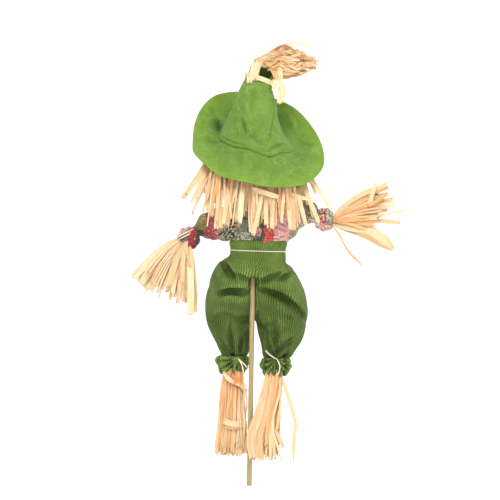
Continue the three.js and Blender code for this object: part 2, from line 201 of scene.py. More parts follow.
class Paint:
    """Builds one material's node tree: each method adds a node and returns its output."""

    def __init__(self, name, roughness, sheen=0.2, specular=0.15):
        self.material = bpy.data.materials.new(name)
        self.material.use_nodes = True
        self.tree = self.material.node_tree
        self.shader = self.tree.nodes["Principled BSDF"]
        self.place = self.add("TexCoord", {})["Object"]
        surface = {"Roughness": roughness, "Specular IOR Level": specular, "Sheen Weight": sheen}
        for key, value in surface.items():
            self.feed(self.shader.inputs[key], value)

    def feed(self, socket, value):
        if isinstance(value, bpy.types.NodeSocket):
            self.tree.links.new(value, socket)
        else:
            socket.default_value = value

    def add(self, kind, inputs, **settings):
        node = self.tree.nodes.new("ShaderNode" + kind)
        for key, value in settings.items():
            setattr(node, key, value)
        for key, value in inputs.items():
            self.feed(node.inputs[key], value)
        return node.outputs

    def attribute(self, name):
        return self.add("Attribute", {}, attribute_name=name)["Fac"]

    def scaled(self, x, y, z):
        return self.add("Mapping", {"Scale": (x, y, z), "Vector": self.place})["Vector"]

    def vector(self, *parts):
        return self.add("CombineXYZ", dict(enumerate(parts)))["Vector"]

    def part(self, axis):
        return self.add("SeparateXYZ", {0: self.place})[axis]

    def noise(self, scale, detail=3.0, rough=0.5, vector=None, distortion=0.0):
        inputs = {"Scale": scale, "Detail": detail, "Roughness": rough, "Distortion": distortion}
        inputs["Vector"] = self.place if vector is None else vector
        return self.add("TexNoise", inputs)["Fac"]

    def cells(self, scale, randomness):
        inputs = {"Scale": scale, "Randomness": randomness, "Vector": self.place}
        return self.add("TexVoronoi", inputs, feature="F1")["Distance"]

    def math(self, operation, *values, clamp=False):
        return self.add("Math", dict(enumerate(values)), operation=operation, use_clamp=clamp)[0]

    def times(self, a, b):
        return self.math("MULTIPLY", a, b)

    def plus(self, a, b):
        return self.math("ADD", a, b)

    def wave(self, value, per_turn=1.0):
        """A sine from 0 to 1 of a value, per_turn waves for each unit."""
        turns = self.times(value, 2 * math.pi * per_turn)
        return self.math("MULTIPLY_ADD", self.math("SINE", turns), 0.5, 0.5)

    def ramp(self, value, *stops, sharp=False):
        """Colours or greys at places from 0 to 1."""
        node = self.tree.nodes.new("ShaderNodeValToRGB")
        node.color_ramp.interpolation = "CONSTANT" if sharp else "LINEAR"
        elements = node.color_ramp.elements
        while len(elements) < len(stops):
            elements.new(0.5)
        for element, (position, colour) in zip(elements, stops):
            element.position = position
            element.color = rgba(colour)
        self.feed(node.inputs["Fac"], value)
        return node.outputs["Color"]

    def mix(self, amount, a, b, how="MIX"):
        a, b = (item if isinstance(item, bpy.types.NodeSocket) else rgba(item) for item in (a, b))
        return self.add("Mix", {0: amount, 6: a, 7: b}, data_type="RGBA", blend_type=how)[2]

    def bump(self, height, strength, depth, under=None):
        inputs = {"Strength": strength, "Distance": depth, "Height": height}
        if under is not None:
            inputs["Normal"] = under
        return self.add("Bump", inputs)["Normal"]

    def finish(self, colour, normal):
        self.feed(self.shader.inputs["Base Color"], colour)
        self.feed(self.shader.inputs["Normal"], normal)
        return self.material


def felt_material():
    paint = Paint("hat_felt", 0.92, sheen=0.08, specular=0.1)
    clouds = paint.noise(95, 5, 0.62, distortion=0.6)
    fibres = paint.noise(620, 3, 0.7, vector=paint.scaled(1, 1, 0.35), distortion=2.5)
    specks = paint.noise(1500, 2, 0.6)
    base = paint.ramp(clouds, (0.3, "587a30"), (0.5, "67883a"), (0.7, "779548"))
    threads = paint.ramp(fibres, (0.35, "45661f"), (0.55, "6a8b3c"), (0.75, "8fa95c"))
    colour = paint.mix(0.46, base, threads)
    patches = paint.ramp(paint.noise(27, 4, 0.6, distortion=1.0), (0.42, 0), (0.62, 1))
    colour = paint.mix(paint.times(patches, 0.34), colour, "53742d")
    contour = paint.math("SUBTRACT", paint.noise(34, 4, 0.55, distortion=0.8), 0.5)
    lines = paint.ramp(paint.math("ABSOLUTE", contour), (0, 1), (0.008, 0.5), (0.022, 0))
    broken = paint.ramp(paint.noise(52, 2), (0.47, 0), (0.6, 1))
    crinkles = paint.times(lines, broken)
    colour = paint.mix(paint.times(crinkles, 0.3), colour, "a5ba72")
    shadow = paint.math("MULTIPLY", paint.attribute("crease"), 1.0, clamp=True)
    colour = paint.mix(shadow, colour, "2f481a")
    edge_colour = paint.ramp(clouds, (0.3, "6b8f2e"), (0.7, "84a041"))
    colour = paint.mix(paint.times(paint.attribute("edge"), 0.6), colour, edge_colour)
    height = paint.plus(paint.times(fibres, 0.7), paint.times(specks, 0.3))
    relief = paint.bump(paint.plus(clouds, crinkles), 0.35, 0.0012)
    return paint.finish(colour, paint.bump(height, 0.55, 0.0005, under=relief))


def ribbed_material():
    """Coarse green cloth with upright ribs, painted lighter on the ridges and darker in the grooves, as light
    and shade. Attributes: rib counts the ribs round the piece, weft the rows down it, and the third scales
    the colour: painted shade in folds and between pleats, painted light higher up and on pleat crests, and
    partly the cloth's own tone."""
    paint = Paint("trouser_cloth", 0.9, sheen=0.05, specular=0.1)
    rib = paint.wave(paint.plus(paint.attribute("rib"), paint.times(paint.noise(160, 2), 0.4)))
    weft = paint.wave(paint.plus(paint.attribute("weft"), paint.noise(300, 2)))
    clouds = paint.noise(45, 4, 0.6)
    thread = paint.noise(1400, 2, 0.6)
    ground = paint.ramp(clouds, (0.3, "34431a"), (0.55, "475a29"), (0.75, "596a37"))
    raised = paint.ramp(clouds, (0.3, "556932"), (0.6, "6e8343"), (0.8, "829554"))
    # Painted light on the rib ridges and painted shade in the grooves between them, the grooves darkened again
    # below.
    ridge = paint.times(paint.math("POWER", rib, 1.6), paint.math("MULTIPLY_ADD", weft, 0.55, 0.45))
    colour = paint.mix(ridge, ground, raised)
    colour = paint.mix(paint.times(paint.math("SUBTRACT", 1.0, rib), 0.32), colour, "2a361a")
    colour = paint.mix(paint.times(thread, 0.25), colour, "8c9c4a", how="OVERLAY")
    # Multiplied by painted light and shade from the attribute: darker in folds and lower down, lighter higher up,
    # partly the cloth's own tone.
    colour = paint.mix(1.0, colour, paint.attribute("light_and_tone"), how="MULTIPLY")
    height = paint.plus(paint.times(rib, 0.75), paint.times(weft, 0.25))
    height = paint.plus(height, paint.times(thread, 0.25))
    return paint.finish(colour, paint.bump(height, 0.7, 0.0006))


def raffia_material():
    """Flat palm fibre. Attributes: tone, from pale to orange, along and across in millimetres."""
    paint = Paint("raffia", 0.5, sheen=0.1, specular=0.35)
    tone, along, across = (paint.attribute(name) for name in ("tone", "along", "across"))
    seed = paint.times(tone, 57.0)

    def grain(per_across, per_along, detail, rough):
        lane = paint.vector(paint.times(across, per_across), paint.times(along, per_along), seed)
        return paint.noise(1.0, detail, rough, vector=lane)

    streaks = grain(2.6, 0.05, 4, 0.65)
    fine = grain(9.0, 0.12, 3, 0.7)
    patches = grain(0.3, 0.06, 2, 0.5)
    shade = paint.plus(paint.times(tone, 0.72), paint.times(patches, 0.28))
    shade = paint.plus(shade, paint.math("MULTIPLY_ADD", streaks, 0.62, -0.31))
    pale = ((0, "f5e9ce"), (0.25, "f2dcb6"), (0.47, "edca9c"))
    deep = ((0.67, "e8b67f"), (0.85, "e29a55"), (1, "d57b38"))
    colour = paint.ramp(shade, *pale, *deep)
    amount = paint.times(paint.math("POWER", fine, 2.2), 0.75)
    colour = paint.mix(amount, colour, "b98f64", how="MULTIPLY")
    paint.shader.inputs["Subsurface Weight"].default_value = 0.12
    paint.shader.inputs["Subsurface Radius"].default_value = (0.002, 0.0014, 0.0008)
    return paint.finish(colour, paint.bump(paint.plus(streaks, paint.times(fine, 0.6)), 0.6, 0.0005))


def wood_material():
    paint = Paint("stick_wood", 0.62, sheen=0.0, specular=0.3)
    grain = paint.noise(1.0, 4, 0.6, vector=paint.scaled(1400, 1400, 32), distortion=0.4)
    tone = paint.noise(1.0, 2, 0.5, vector=paint.scaled(160, 160, 9))
    colour = paint.ramp(grain, (0.25, "7f6d4c"), (0.5, "9f9169"), (0.75, "b5a982"))
    colour = paint.mix(paint.times(tone, 0.5), colour, "9c8450")
    return paint.finish(colour, paint.bump(grain, 0.4, 0.0002))


# The shirt's upper and lower patches: where each starts in x, and its ground colour.
PRINT_WIDTH = 200
UPPER_PATCHES = [
    (-100, "7d8376"), (-72, "a8384c"), (-66, "56573f"), (-52, "77705c"), (-38, "cf8f92"), (-19, "bb3a4c"),
    (-11, "35472f"), (-5, "66705f"), (17, "4a4526"), (27, "6b3a2c"), (33, "972a3b"), (47, "6f6c2a"),
    (58, "8f2c3d"), (64, "4f5a4a"),
]
LOWER_PATCHES = [
    (-100, "5e5f52"), (-70, "8d8677"), (-45, "8f8672"), (-36, "cf8f8a"), (-19, "c9433f"), (-12, "3d4b33"),
    (3, "6d7466"), (21, "3f3a26"), (33, "8f2b36"), (50, "343d34"), (56, "942b38"), (63, "4b5148"),
]
LOWER_PATCH_TOP = 0.2545


def patchwork_material():
    """Printed cotton in patches of small flowers, dots and lace."""
    paint = Paint("shirt_cloth", 0.85)
    wobble = paint.math("MULTIPLY_ADD", paint.noise(60, 2), 0.012, -0.006)
    across = paint.plus(paint.part("X"), wobble)
    place = paint.math("MULTIPLY_ADD", across, 1 / (PRINT_WIDTH * MM), 0.5)

    def by_x(rows, sharp=True):
        return paint.ramp(place, *((0.5 + x / PRINT_WIDTH, colour) for x, colour in rows), sharp=sharp)

    low = paint.math("LESS_THAN", paint.plus(paint.part("Z"), wobble), LOWER_PATCH_TOP)
    grounds = paint.mix(low, by_x(UPPER_PATCHES), by_x(LOWER_PATCHES))
    band = paint.noise(48, 1, vector=paint.scaled(1, 1, 1.4))
    stops = ((0, "6f6a33"), (0.42, "b4394a"), (0.5, "48543e"), (0.57, "c98b8c"))
    second = paint.ramp(band, *stops, sharp=True)
    colour = paint.mix(paint.ramp(band, (0, 0), (0.62, 1), sharp=True), grounds, second)
    lace = paint.ramp(paint.cells(430, 0.75), (0, 1), (0.27, 1), (0.33, 0), (0.44, 0.75), (0.55, 0))
    here = paint.ramp(paint.noise(40, 1), (0.4, 0.15), (0.55, 0.9))
    plain = by_x([(36, 1), (42, 0.35), (60, 0.35), (66, 1)], sharp=False)
    colour = paint.mix(paint.times(lace, paint.times(here, plain)), colour, "e6e2cf")
    petals = paint.ramp(paint.cells(210, 0.9), (0, 1), (0.16, 1), (0.22, 0))
    colour = paint.mix(paint.times(petals, 0.8), colour, "d7b64a")
    dark = paint.ramp(paint.noise(420, 3, 0.6), (0.5, 0), (0.62, 1))
    colour = paint.mix(paint.times(dark, 0.6), colour, "33291c")
    weave = paint.times(paint.wave(paint.part("X"), 1700), paint.wave(paint.part("Z"), 1700))
    height = paint.plus(weave, paint.times(paint.noise(900, 2), 0.8))
    return paint.finish(colour, paint.bump(height, 0.4, 0.0004))


def string_material():
    paint = Paint("string", 0.7, sheen=0.3, specular=0.2)
    strands = paint.wave(paint.plus(paint.times(paint.attribute("along"), 0.9), paint.attribute("around")))
    colour = paint.ramp(strands, (0.1, "cdc2a4"), (0.7, "f7f3e6"))
    colour = paint.mix(paint.times(paint.noise(2400, 2), 0.3), colour, "ded2b2")
    return paint.finish(colour, paint.bump(strands, 0.7, 0.0003))


def cotton_material():
    """Unbleached cotton over the head, with a blush on each cheek."""
    paint = Paint("head_cloth", 0.9, specular=0.12)
    weave = paint.times(paint.wave(paint.part("X"), 1100), paint.wave(paint.part("Z"), 1100))
    slubs = paint.noise(1.0, 3, 0.6, vector=paint.scaled(90, 90, 800))
    colour = paint.ramp(slubs, (0.3, "d9bd92"), (0.6, "e9d3ab"), (0.8, "f3e3c4"))
    colour = paint.mix(paint.times(weave, 0.25), colour, "f6ead0")
    colour = paint.mix(paint.times(paint.attribute("blush"), 0.65), colour, "d9775e")
    return paint.finish(colour, paint.bump(paint.plus(weave, paint.times(slubs, 0.7)), 0.45, 0.0004))


def soft_material(name, low, high, scale=300):
    """Felt, thread, foam and wadding: a fine fibrous surface between two colours."""
    paint = Paint(name, 0.9)
    fibres = paint.noise(scale, 4, 0.65, distortion=1.5)
    return paint.finish(paint.ramp(fibres, (0.3, low), (0.7, high)), paint.bump(fibres, 0.4, 0.0004))


def bead_material():
    paint = Paint("bead", 0.12, sheen=0.0, specular=0.6)
    wear = paint.noise(900, 2)
    return paint.finish(paint.ramp(wear, (0.3, "0b0a09"), (0.8, "1d1a17")), paint.bump(wear, 0.05, 0.0001))


MATERIALS = {
    "hat_felt": felt_material(),
    "trouser_cloth": ribbed_material(),
    "raffia": raffia_material(),
    "stick_wood": wood_material(),
    "shirt_cloth": patchwork_material(),
    "string": string_material(),
    "head_cloth": cotton_material(),
    "bead": bead_material(),
    "nose_felt": soft_material("nose_felt", "c2601d", "ea8a3a"),
    "mouth_thread": soft_material("mouth_thread", "6b1d14", "a03527", 1500),
    "foam": soft_material("foam", "e4e3dc", "fbfbf8", 500),
    "wadding": soft_material("wadding", "dedbd0", "f8f6f0", 260),
}


# ---------------------------------------------------------------- meshes


def store(mesh, attributes):
    """Number-per-point attributes for the materials."""
    for key, values in attributes.items():
        layer = mesh.attributes.new(key, "FLOAT", "POINT")
        layer.data.foreach_set("value", np.asarray(values, np.float32))


def new_piece(name, points, faces, slot, attributes=None):
    """A mesh object from points in millimetres, with its material and attributes."""
    mesh = bpy.data.meshes.new(name)
    mesh.from_pydata((np.asarray(points, float) * MM).tolist(), [], faces)
    mesh.validate()
    store(mesh, attributes or {})
    mesh.polygons.foreach_set("use_smooth", [True] * len(mesh.polygons))
    mesh.materials.append(MATERIALS[slot])
    piece = add_object(name, mesh)
    return piece


def wear(piece, body, *nodes):
    """The piece moves with the body and stands for the CAD nodes."""
    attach(piece, body)
    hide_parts(*nodes)
    return piece


def grid_faces(rows, around, start_cap=False, end_cap=False, first=0):
    """The faces of rings of points one after another, from point number first on."""
    faces = []
    for ring in range(first, first + (rows - 1) * around, around):
        for k in range(around):
            a, b = ring + k, ring + (k + 1) % around
            faces.append((a, b, b + around, a + around))
    if start_cap:
        faces.append(tuple(range(first, first + around))[::-1])
    if end_cap:
        last = first + (rows - 1) * around
        faces.append(tuple(range(last, last + around)))
    return faces


def travelled(line):
    """How far along a line each of its points lies."""
    return np.concatenate([[0], np.cumsum(np.linalg.norm(np.diff(line, axis=0), axis=1))])


def unit(vectors):
    vectors = np.asarray(vectors, float)
    return vectors / np.linalg.norm(vectors, axis=-1, keepdims=True)


def smooth_curve(points, count):
    """Catmull-Rom through the points, count samples evenly spread over its length."""
    p = np.asarray(points, float)
    if len(p) == 2:
        dense = p[0] + np.linspace(0, 1, 64)[:, None] * (p[1] - p[0])
    else:
        ends = np.vstack([2 * p[0] - p[1], p, 2 * p[-1] - p[-2]])
        t = np.linspace(0, 1, 24, endpoint=False)[:, None]
        parts = []
        for i in range(1, len(ends) - 2):
            a, b, c, d = ends[i - 1 : i + 3]
            cubic = 2 * b + (c - a) * t + (2 * a - 5 * b + 4 * c - d) * t**2
            parts.append((cubic + (3 * b - a - 3 * c + d) * t**3) / 2)
        dense = np.vstack(parts + [p[-1:]])
    distance = travelled(dense)
    at = np.linspace(0, distance[-1], count)
    return np.stack([np.interp(at, distance, dense[:, k]) for k in range(dense.shape[1])], 1)


def tube(path, radius, sides=8):
    """Points and attributes of a round tube along a path."""
    path = np.asarray(path, float)
    tangents = unit(np.gradient(path, axis=0))
    side = np.cross(tangents[0], [0.3, 1, 0.2])
    points, along, around = [], [], []
    for centre, tangent, distance in zip(path, tangents, travelled(path)):
        side = unit(side - tangent * side.dot(tangent))
        up = np.cross(tangent, side)
        for angle, c, s in circle(sides):
            points.append(centre + radius * (c * side + s * up))
            along.append(distance)
            around.append(angle / math.pi)
    return points, along, around


def string_piece(name, paths, radius, sides=8):
    """One piece of thread, from one path or several that touch."""
    points, faces, attributes = [], [], {"along": [], "around": []}
    for path in paths:
        faces += grid_faces(len(path), sides, True, True, first=len(points))
        more, along, around = tube(path, radius, sides)
        points += more
        attributes["along"] += along
        attributes["around"] += around
    return new_piece(name, points, faces, "string", attributes)


# ---------------------------------------------------------------- raffia

# Where a ribbon's points lie across it, from edge to edge.
LANES = np.linspace(-1, 1, 7)


class Raffia:
    """A bundle of flat fibre ribbons, collected into one mesh. STEP is how far apart the points of a
    ribbon lie along it."""

    THICKNESS = 0.16
    STEP = 2.6

    def __init__(self, seed):
        self.random = np.random.default_rng(seed)
        self.points, self.faces = [], []
        self.attributes = {"tone": [], "along": [], "across": []}

    def ribbon(self, path, width, tone=0.4, tip=0.85, facing=(0, 1, 0), turn=0.0, cup=0.18, root=0.5):
        """A ribbon along a path. It is root of its width at the start and tip of it at the end. turn is
        how far it twists, in degrees, and cup how deep it folds along its middle, as a share of width."""
        uniform = self.random.uniform
        count = max(10, int(travelled(np.asarray(path, float))[-1] / self.STEP))
        line = smooth_curve(path, count)
        pleats = uniform(-1, 1, (2, len(LANES))) * 0.07 * width
        torn = uniform(-1.6, 1.6, len(LANES)) * min(1, width / 3)
        phase = uniform(0, 6.28)
        start_turn = uniform(-0.35, 0.35)
        ruffle = uniform(0.5, 1.2)
        self.faces += grid_faces(count, 2 * len(LANES), True, True, first=len(self.points))
        rows = zip(np.linspace(0, 1, count), line, unit(np.gradient(line, axis=0)), travelled(line))
        for t, centre, tangent, distance in rows:
            outward = np.asarray(facing, float)
            outward = unit(outward - tangent * outward.dot(tangent))
            side = np.cross(tangent, outward)
            angle = start_turn + math.radians(turn) * t + 0.22 * math.sin(phase + 5 * t)
            c, s = math.cos(angle), math.sin(angle)
            side, outward = side * c + outward * s, outward * c - side * s
            grow = min(1, t / 0.28)
            share = root + (1 - root) * grow * grow * (3 - 2 * grow)
            share *= 1 + (tip - 1) * max(0, (t - 0.8) / 0.2)
            half = width * share / 2 * (1 + 0.06 * math.sin(phase + 11 * t))
            bowls = cup * width * (LANES**2 - 0.4) + 0.05 * width * np.sin(phase + ruffle * 9 * t + 3 * LANES)
            bowls += pleats[0] * (1 - t) + pleats[1] * t
            lane_points = centre + np.outer(LANES * half, side) + np.outer(bowls, outward)
            lane_points += np.outer(torn, tangent) * max(0, (t - 0.85) / 0.15)
            for layer in (1, -1):
                self.points += list((lane_points + outward * layer * self.THICKNESS / 2)[::layer])
                self.attributes["across"] += list((LANES * half)[::layer])
            self.attributes["tone"] += [tone] * 2 * len(LANES)
            self.attributes["along"] += [distance] * 2 * len(LANES)

    def piece(self, name):
        return new_piece(name, self.points, self.faces, "raffia", self.attributes)


def fan(raffia, root, out, up, rows):
    """Ribbons that leave root. A row gives a ribbon's angle from out towards up, its length, width,
    bend (how far it bows sideways), depth towards the back, and tone."""
    out, up = np.asarray(out, float), np.asarray(up, float)
    for angle, length, width, bend, rearward, tone in rows:
        c, s = math.cos(math.radians(angle)), math.sin(math.radians(angle))
        direction, sideways = out * c + up * s, up * c - out * s
        start = root - direction * 3 + REAR * rearward * 0.25
        middle = root + direction * length * 0.45 + sideways * bend + REAR * rearward
        end = root + direction * length + REAR * (rearward + raffia.random.uniform(-1, 1) * 1.2)
        raffia.ribbon([start, middle, end], width, tone, turn=raffia.random.uniform(-25, 25))


# The ribbons of each hand that show one by one, as rows for fan().
LEFT_HAND = [
    (52, 66, 7.5, 5, 2.5, 0.196), (48, 64, 7, 4, 0.5, 0.154), (44, 66, 7.5, 3.5, 3.2, 0.238),
    (40, 65, 7, 2.5, -1.5, 0.21), (36, 67, 6.5, 2.5, 2.2, 0.294), (33, 64, 6, 1, 4.2, 0.252),
    (27, 62, 3.6, 1.5, 1, 0.322), (24, 66, 1.8, 1, 3, 0.28), (30, 52, 3, 2, 4.6, 0.434),
    (14, 64, 4.2, 0.5, 0, 0.336), (11, 60, 3, -0.5, 5.1, 0.21), (6, 66, 6.5, 0.5, 10.6, 0.364),
    (2, 64, 6, -1, 9.6, 0.308), (4, 46, 4.2, 1, 14, 0.49), (-4, 77, 7, -2, 11, 0.154),
    (-8, 75, 6.5, -2.5, 8, 0.21), (-5, 72, 4.5, -1.5, 5.5, 0.266), (9, 40, 3.4, 0, 9.9, 0.574),
    (20, 58, 4, 0, -3, 0.35), (38, 60, 5, 2, -4, 0.28), (-1, 66, 5, -1, 4.8, 0.315),
    (48, 56, 5, 3, -3.2, 0.252), (-9, 30, 2.6, 1, 13.8, 0.602), (15, 34, 2.8, 0, 4.4, 0.546),
]
RIGHT_HAND = [
    (34, 66, 5.2, 6, 2.6, 0.4), (31, 65, 4.6, 5, 0.2, 0.52), (26, 60, 4.2, 4, 3.6, 0.3),
    (37, 54, 3.4, 5, -1.6, 0.44), (20, 66, 7, 2, 1.2, 0.34), (16, 64, 6.5, 1.5, 3.4, 0.26),
    (12, 58, 5, 2, -2, 0.48), (9, 73, 2.8, -2.5, 2, 0.28), (5, 46, 5.5, 0.5, 4.4, 0.46),
    (-1, 68, 4.6, 2, 0.4, 0.44), (2, 34, 3.2, 0, 5.2, 0.86), (7, 38, 3, 1, 4.6, 0.7),
    (24, 50, 4.4, 2, 4.8, 0.58), (-4, 42, 3.4, 1, 3.8, 0.8), (-12, 36, 3, 1, 4.6, 0.62),
    (14, 50, 4, 0, -4, 0.5), (28, 52, 4, 2, -4.2, 0.42),
]


def fill_fan(raffia, root, out, up, count, angles, lengths, widths, tones, layers=(-4.5, 2.5)):
    """More ribbons between the ones of a fan. lengths gives some angles and the fan's length there, and
    layers how deep the ribbons lie."""
    uniform = raffia.random.uniform
    rows = []
    for i in range(count):
        angle = angles[0] + (angles[1] - angles[0]) * (i + uniform(0, 1)) / count
        length = np.interp(angle, *zip(*lengths)) * uniform(0.78, 0.98)
        layer = uniform(*layers)
        rows.append((angle, length, uniform(*widths), angle / 12, layer, uniform(*tones)))
    fan(raffia, root, out, up, rows)


def hand_left():
    raffia = Raffia(11)
    place = (np.array(JOINTS["wrist_left"]), (0, 0, -1), (1, 0, 0))
    fan(raffia, *place, LEFT_HAND)
    fill_fan(raffia, *place, 20, (27, 50), ((27, 58), (50, 64)), (4, 7), (0.12, 0.38))
    fill_fan(raffia, *place, 22, (-8, 20), ((-8, 72), (2, 64), (20, 60)), (4, 7), (0.22, 0.55), (5, 10))
    fill_fan(raffia, *place, 22, (-8, 50), ((-8, 74), (10, 62), (50, 66)), (1, 2.2), (0.15, 0.65), (5, 8))
    return raffia.piece("hand_raffia_left_visual")


def hand_right():
    raffia = Raffia(12)
    wrist = np.array(JOINTS["wrist_right"])
    place = (wrist, (-1, 0, 0), (0, 0, 1))
    fan(raffia, *place, RIGHT_HAND)
    fill_fan(raffia, *place, 20, (10, 33), ((10, 56), (33, 62)), (3.5, 6), (0.3, 0.6))
    fill_fan(raffia, *place, 9, (-8, 8), ((-8, 40), (8, 46)), (3, 5), (0.55, 0.9))
    fill_fan(raffia, *place, 16, (-6, 33), ((-6, 50), (12, 60), (34, 64)), (1, 2.2), (0.3, 0.85), (3, 6))
    leaf = [(2, -1, -1), (-18, 2, -5), (-38, 3, -9), (-52, 2, -18), (-63, 2, -27)]
    raffia.ribbon(wrist + leaf, 10.5, 0.34, tip=0.35, root=0.35, cup=0.1)
    under = [(2, 0, -2), (-14, 1, -8), (-34, 0, -15), (-50, 0, -23), (-60, 1, -28)]
    raffia.ribbon(wrist + under, 5.5, 0.22, tip=0.5)
    whisker = [(0, 0, -3), (-8, 5, -14), (-17, 9, -30), (-27, 11, -40), (-31, 11, -44)]
    raffia.ribbon(wrist + whisker, 2.2, 0.8, tip=0.4)
    crossing = [(-43, 6, 38), (-40, 6.6, 27), (-37, 5, 16)]
    raffia.ribbon(wrist + crossing, 4.5, 0.36, root=0.9)
    lower = [(-36, 5.6, 15), (-46, 5.8, 21), (-56, 5, 29)]
    raffia.ribbon(wrist + lower, 3.6, 0.78, root=0.8)
    return raffia.piece("hand_raffia_right_visual")


def hanging(raffia, top, bottom, count, width, tones, y_range, spread=1.0):
    """A sheet of near parallel ribbons between a top and a bottom span, each (x from, x to, z)."""
    uniform = raffia.random.uniform
    for i in range(count):
        t = (i + uniform(0.2, 0.8)) / count
        x0 = top[0] + (top[1] - top[0]) * t
        x1 = bottom[0] + (bottom[1] - bottom[0]) * t + uniform(-1.5, 1.5) * spread
        y = uniform(*y_range)
        z1 = bottom[2] + uniform(-4, 5)
        bow = uniform(-1.5, 1.5)
        start = (x0, (y_range[0] + y_range[1]) / 2 * 0.7 + y * 0.3, top[2])
        middle = ((x0 + x1) / 2 + bow, y, (top[2] + z1) / 2)
        end = (x1, y + uniform(-1, 1), z1)
        tone = uniform(*tones)
        raffia.ribbon([start, middle, end], width * uniform(0.7, 1.25), tone, turn=uniform(-30, 30))


def foot_left():
    raffia = Raffia(21)
    hanging(raffia, (27, 9, 117), (34.5, 3, 33), 11, 7.0, (0.3, 0.62), (-8, -4))
    hanging(raffia, (26, 10, 117), (33, 5, 34), 14, 6.4, (0.4, 0.75), (-13, -8))
    hanging(raffia, (26, 11, 116), (33, 5, 32), 12, 6.0, (0.25, 0.6), (-20, -13))
    hanging(raffia, (25, 12, 117), (31, 9, 66), 7, 6.0, (0.65, 0.95), (-6, -4))
    hanging(raffia, (27, 12, 116), (34.5, 10, 36), 26, 1.5, (0.3, 0.85), (-5, -2.8), 2.0)
    pale = ((32, 30, 2.4), (24, 31, 3.2), (17, 33, 3.4), (12, 41, 2.6), (6, 38, 2.2), (28, 34, 2.0))
    for x, z, width in pale:
        path = [(x * 0.7 + 5, -5, 92), (x, -3.6, 60), (x + 1, -4.6, z)]
        raffia.ribbon(path, width, raffia.random.uniform(0.1, 0.4))
    raffia.ribbon([(15, -7, 116), (14, -2, 107), (12.5, -1.8, 97)], 9, 1.0, tip=0.25)
    raffia.ribbon([(18, -7, 114), (16, -3.8, 102), (17, -3.4, 84), (20, -3.4, 62)], 4.2, 0.92, tip=0.5)
    raffia.ribbon([(28, -4, 112), (22, -1.4, 105), (12, -1.6, 100), (4.2, -5.8, 93)], 4.4, 0.2)
    raffia.ribbon([(27, -2.2, 63), (16, -1.2, 60.5), (4.4, -5.8, 61)], 6.4, 0.34, root=0.9, tip=1.0)
    raffia.ribbon([(26, -2.2, 58), (15, -1.4, 57), (4.4, -5.9, 59)], 3.4, 0.5, root=0.9, tip=1.0)
    raffia.ribbon([(10, -8, 112), (6.4, -4, 96), (7.5, -4.2, 74), (4, -4.5, 56)], 3.0, 0.34)
    raffia.ribbon([(12, -8, 113), (5, -3.8, 92), (3.8, -3.6, 80), (5, -4, 70)], 1.8, 0.3)
    return raffia.piece("foot_raffia_left_visual")


def foot_right():
    raffia = Raffia(22)
    hanging(raffia, (-18, -31, 117), (-8, -27, 32), 13, 5.4, (0.3, 0.65), (-19, -12))
    hanging(raffia, (-18, -31, 117), (-10, -27, 30), 12, 5.6, (0.4, 0.75), (-10, -4))
    hanging(raffia, (-19, -30, 117), (-16, -29, 78), 6, 5.6, (0.65, 0.95), (-6, -3))
    hanging(raffia, (-19, -31, 116), (-12, -28, 33), 20, 1.5, (0.3, 0.85), (-4.5, -2), 2.5)
    sweep = [(-17, -8, 117), (-13, 1, 98), (-5, 5, 70), (1, 5.6, 48), (-1.5, 4.6, 27)]
    swept = ((0, 4.8, 0.42), (-4, 5.4, 0.34), (-8, 5.2, 0.5), (-2, 3, 0.25), (-11, 4.6, 0.6))
    for shift, width, tone in swept:
        path = [(x + shift * min(1, i / 1.5), y + 0.12 * shift, z) for i, (x, y, z) in enumerate(sweep)]
        raffia.ribbon(path, width, tone, turn=10)
    raffia.ribbon([(-24, -8, 114), (-23, -1, 92), (-18, 1, 62), (-16, 1, 40)], 4.4, 0.74)
    for x, z, width in ((-16, 27, 2.6), (-21, 26, 3.6), (-25, 27, 3.2), (-11, 34, 2.4)):
        path = [(-23, -3, 92), ((x - 20) / 2, 0, 60), (x, -1, z)]
        raffia.ribbon(path, width, raffia.random.uniform(0.15, 0.45))
    curl = [(-27, -6, 114), (-29, -1, 96), (-22, 0, 62), (-28, 0, 38), (-32, 0, 25)]
    raffia.ribbon(curl, 2.4, 0.24, tip=0.4)
    raffia.ribbon([(-29, -7, 114), (-30, -2, 88), (-27.5, -1, 62), (-25.5, -1, 54)], 2.8, 0.45, tip=0.9)
    raffia.ribbon([(-25.5, -1, 55), (-29, -0.4, 47), (-33.5, -1, 39)], 3.6, 0.55, root=0.9, tip=0.9)
    outer = [(-28, -6, 114), (-34, -4, 98), (-41, -4, 78), (-45, -4, 60), (-44, -4, 50), (-43.5, -4, 24)]
    raffia.ribbon(outer, 4.0, 0.36, tip=0.25)
    return raffia.piece("foot_raffia_right_visual")


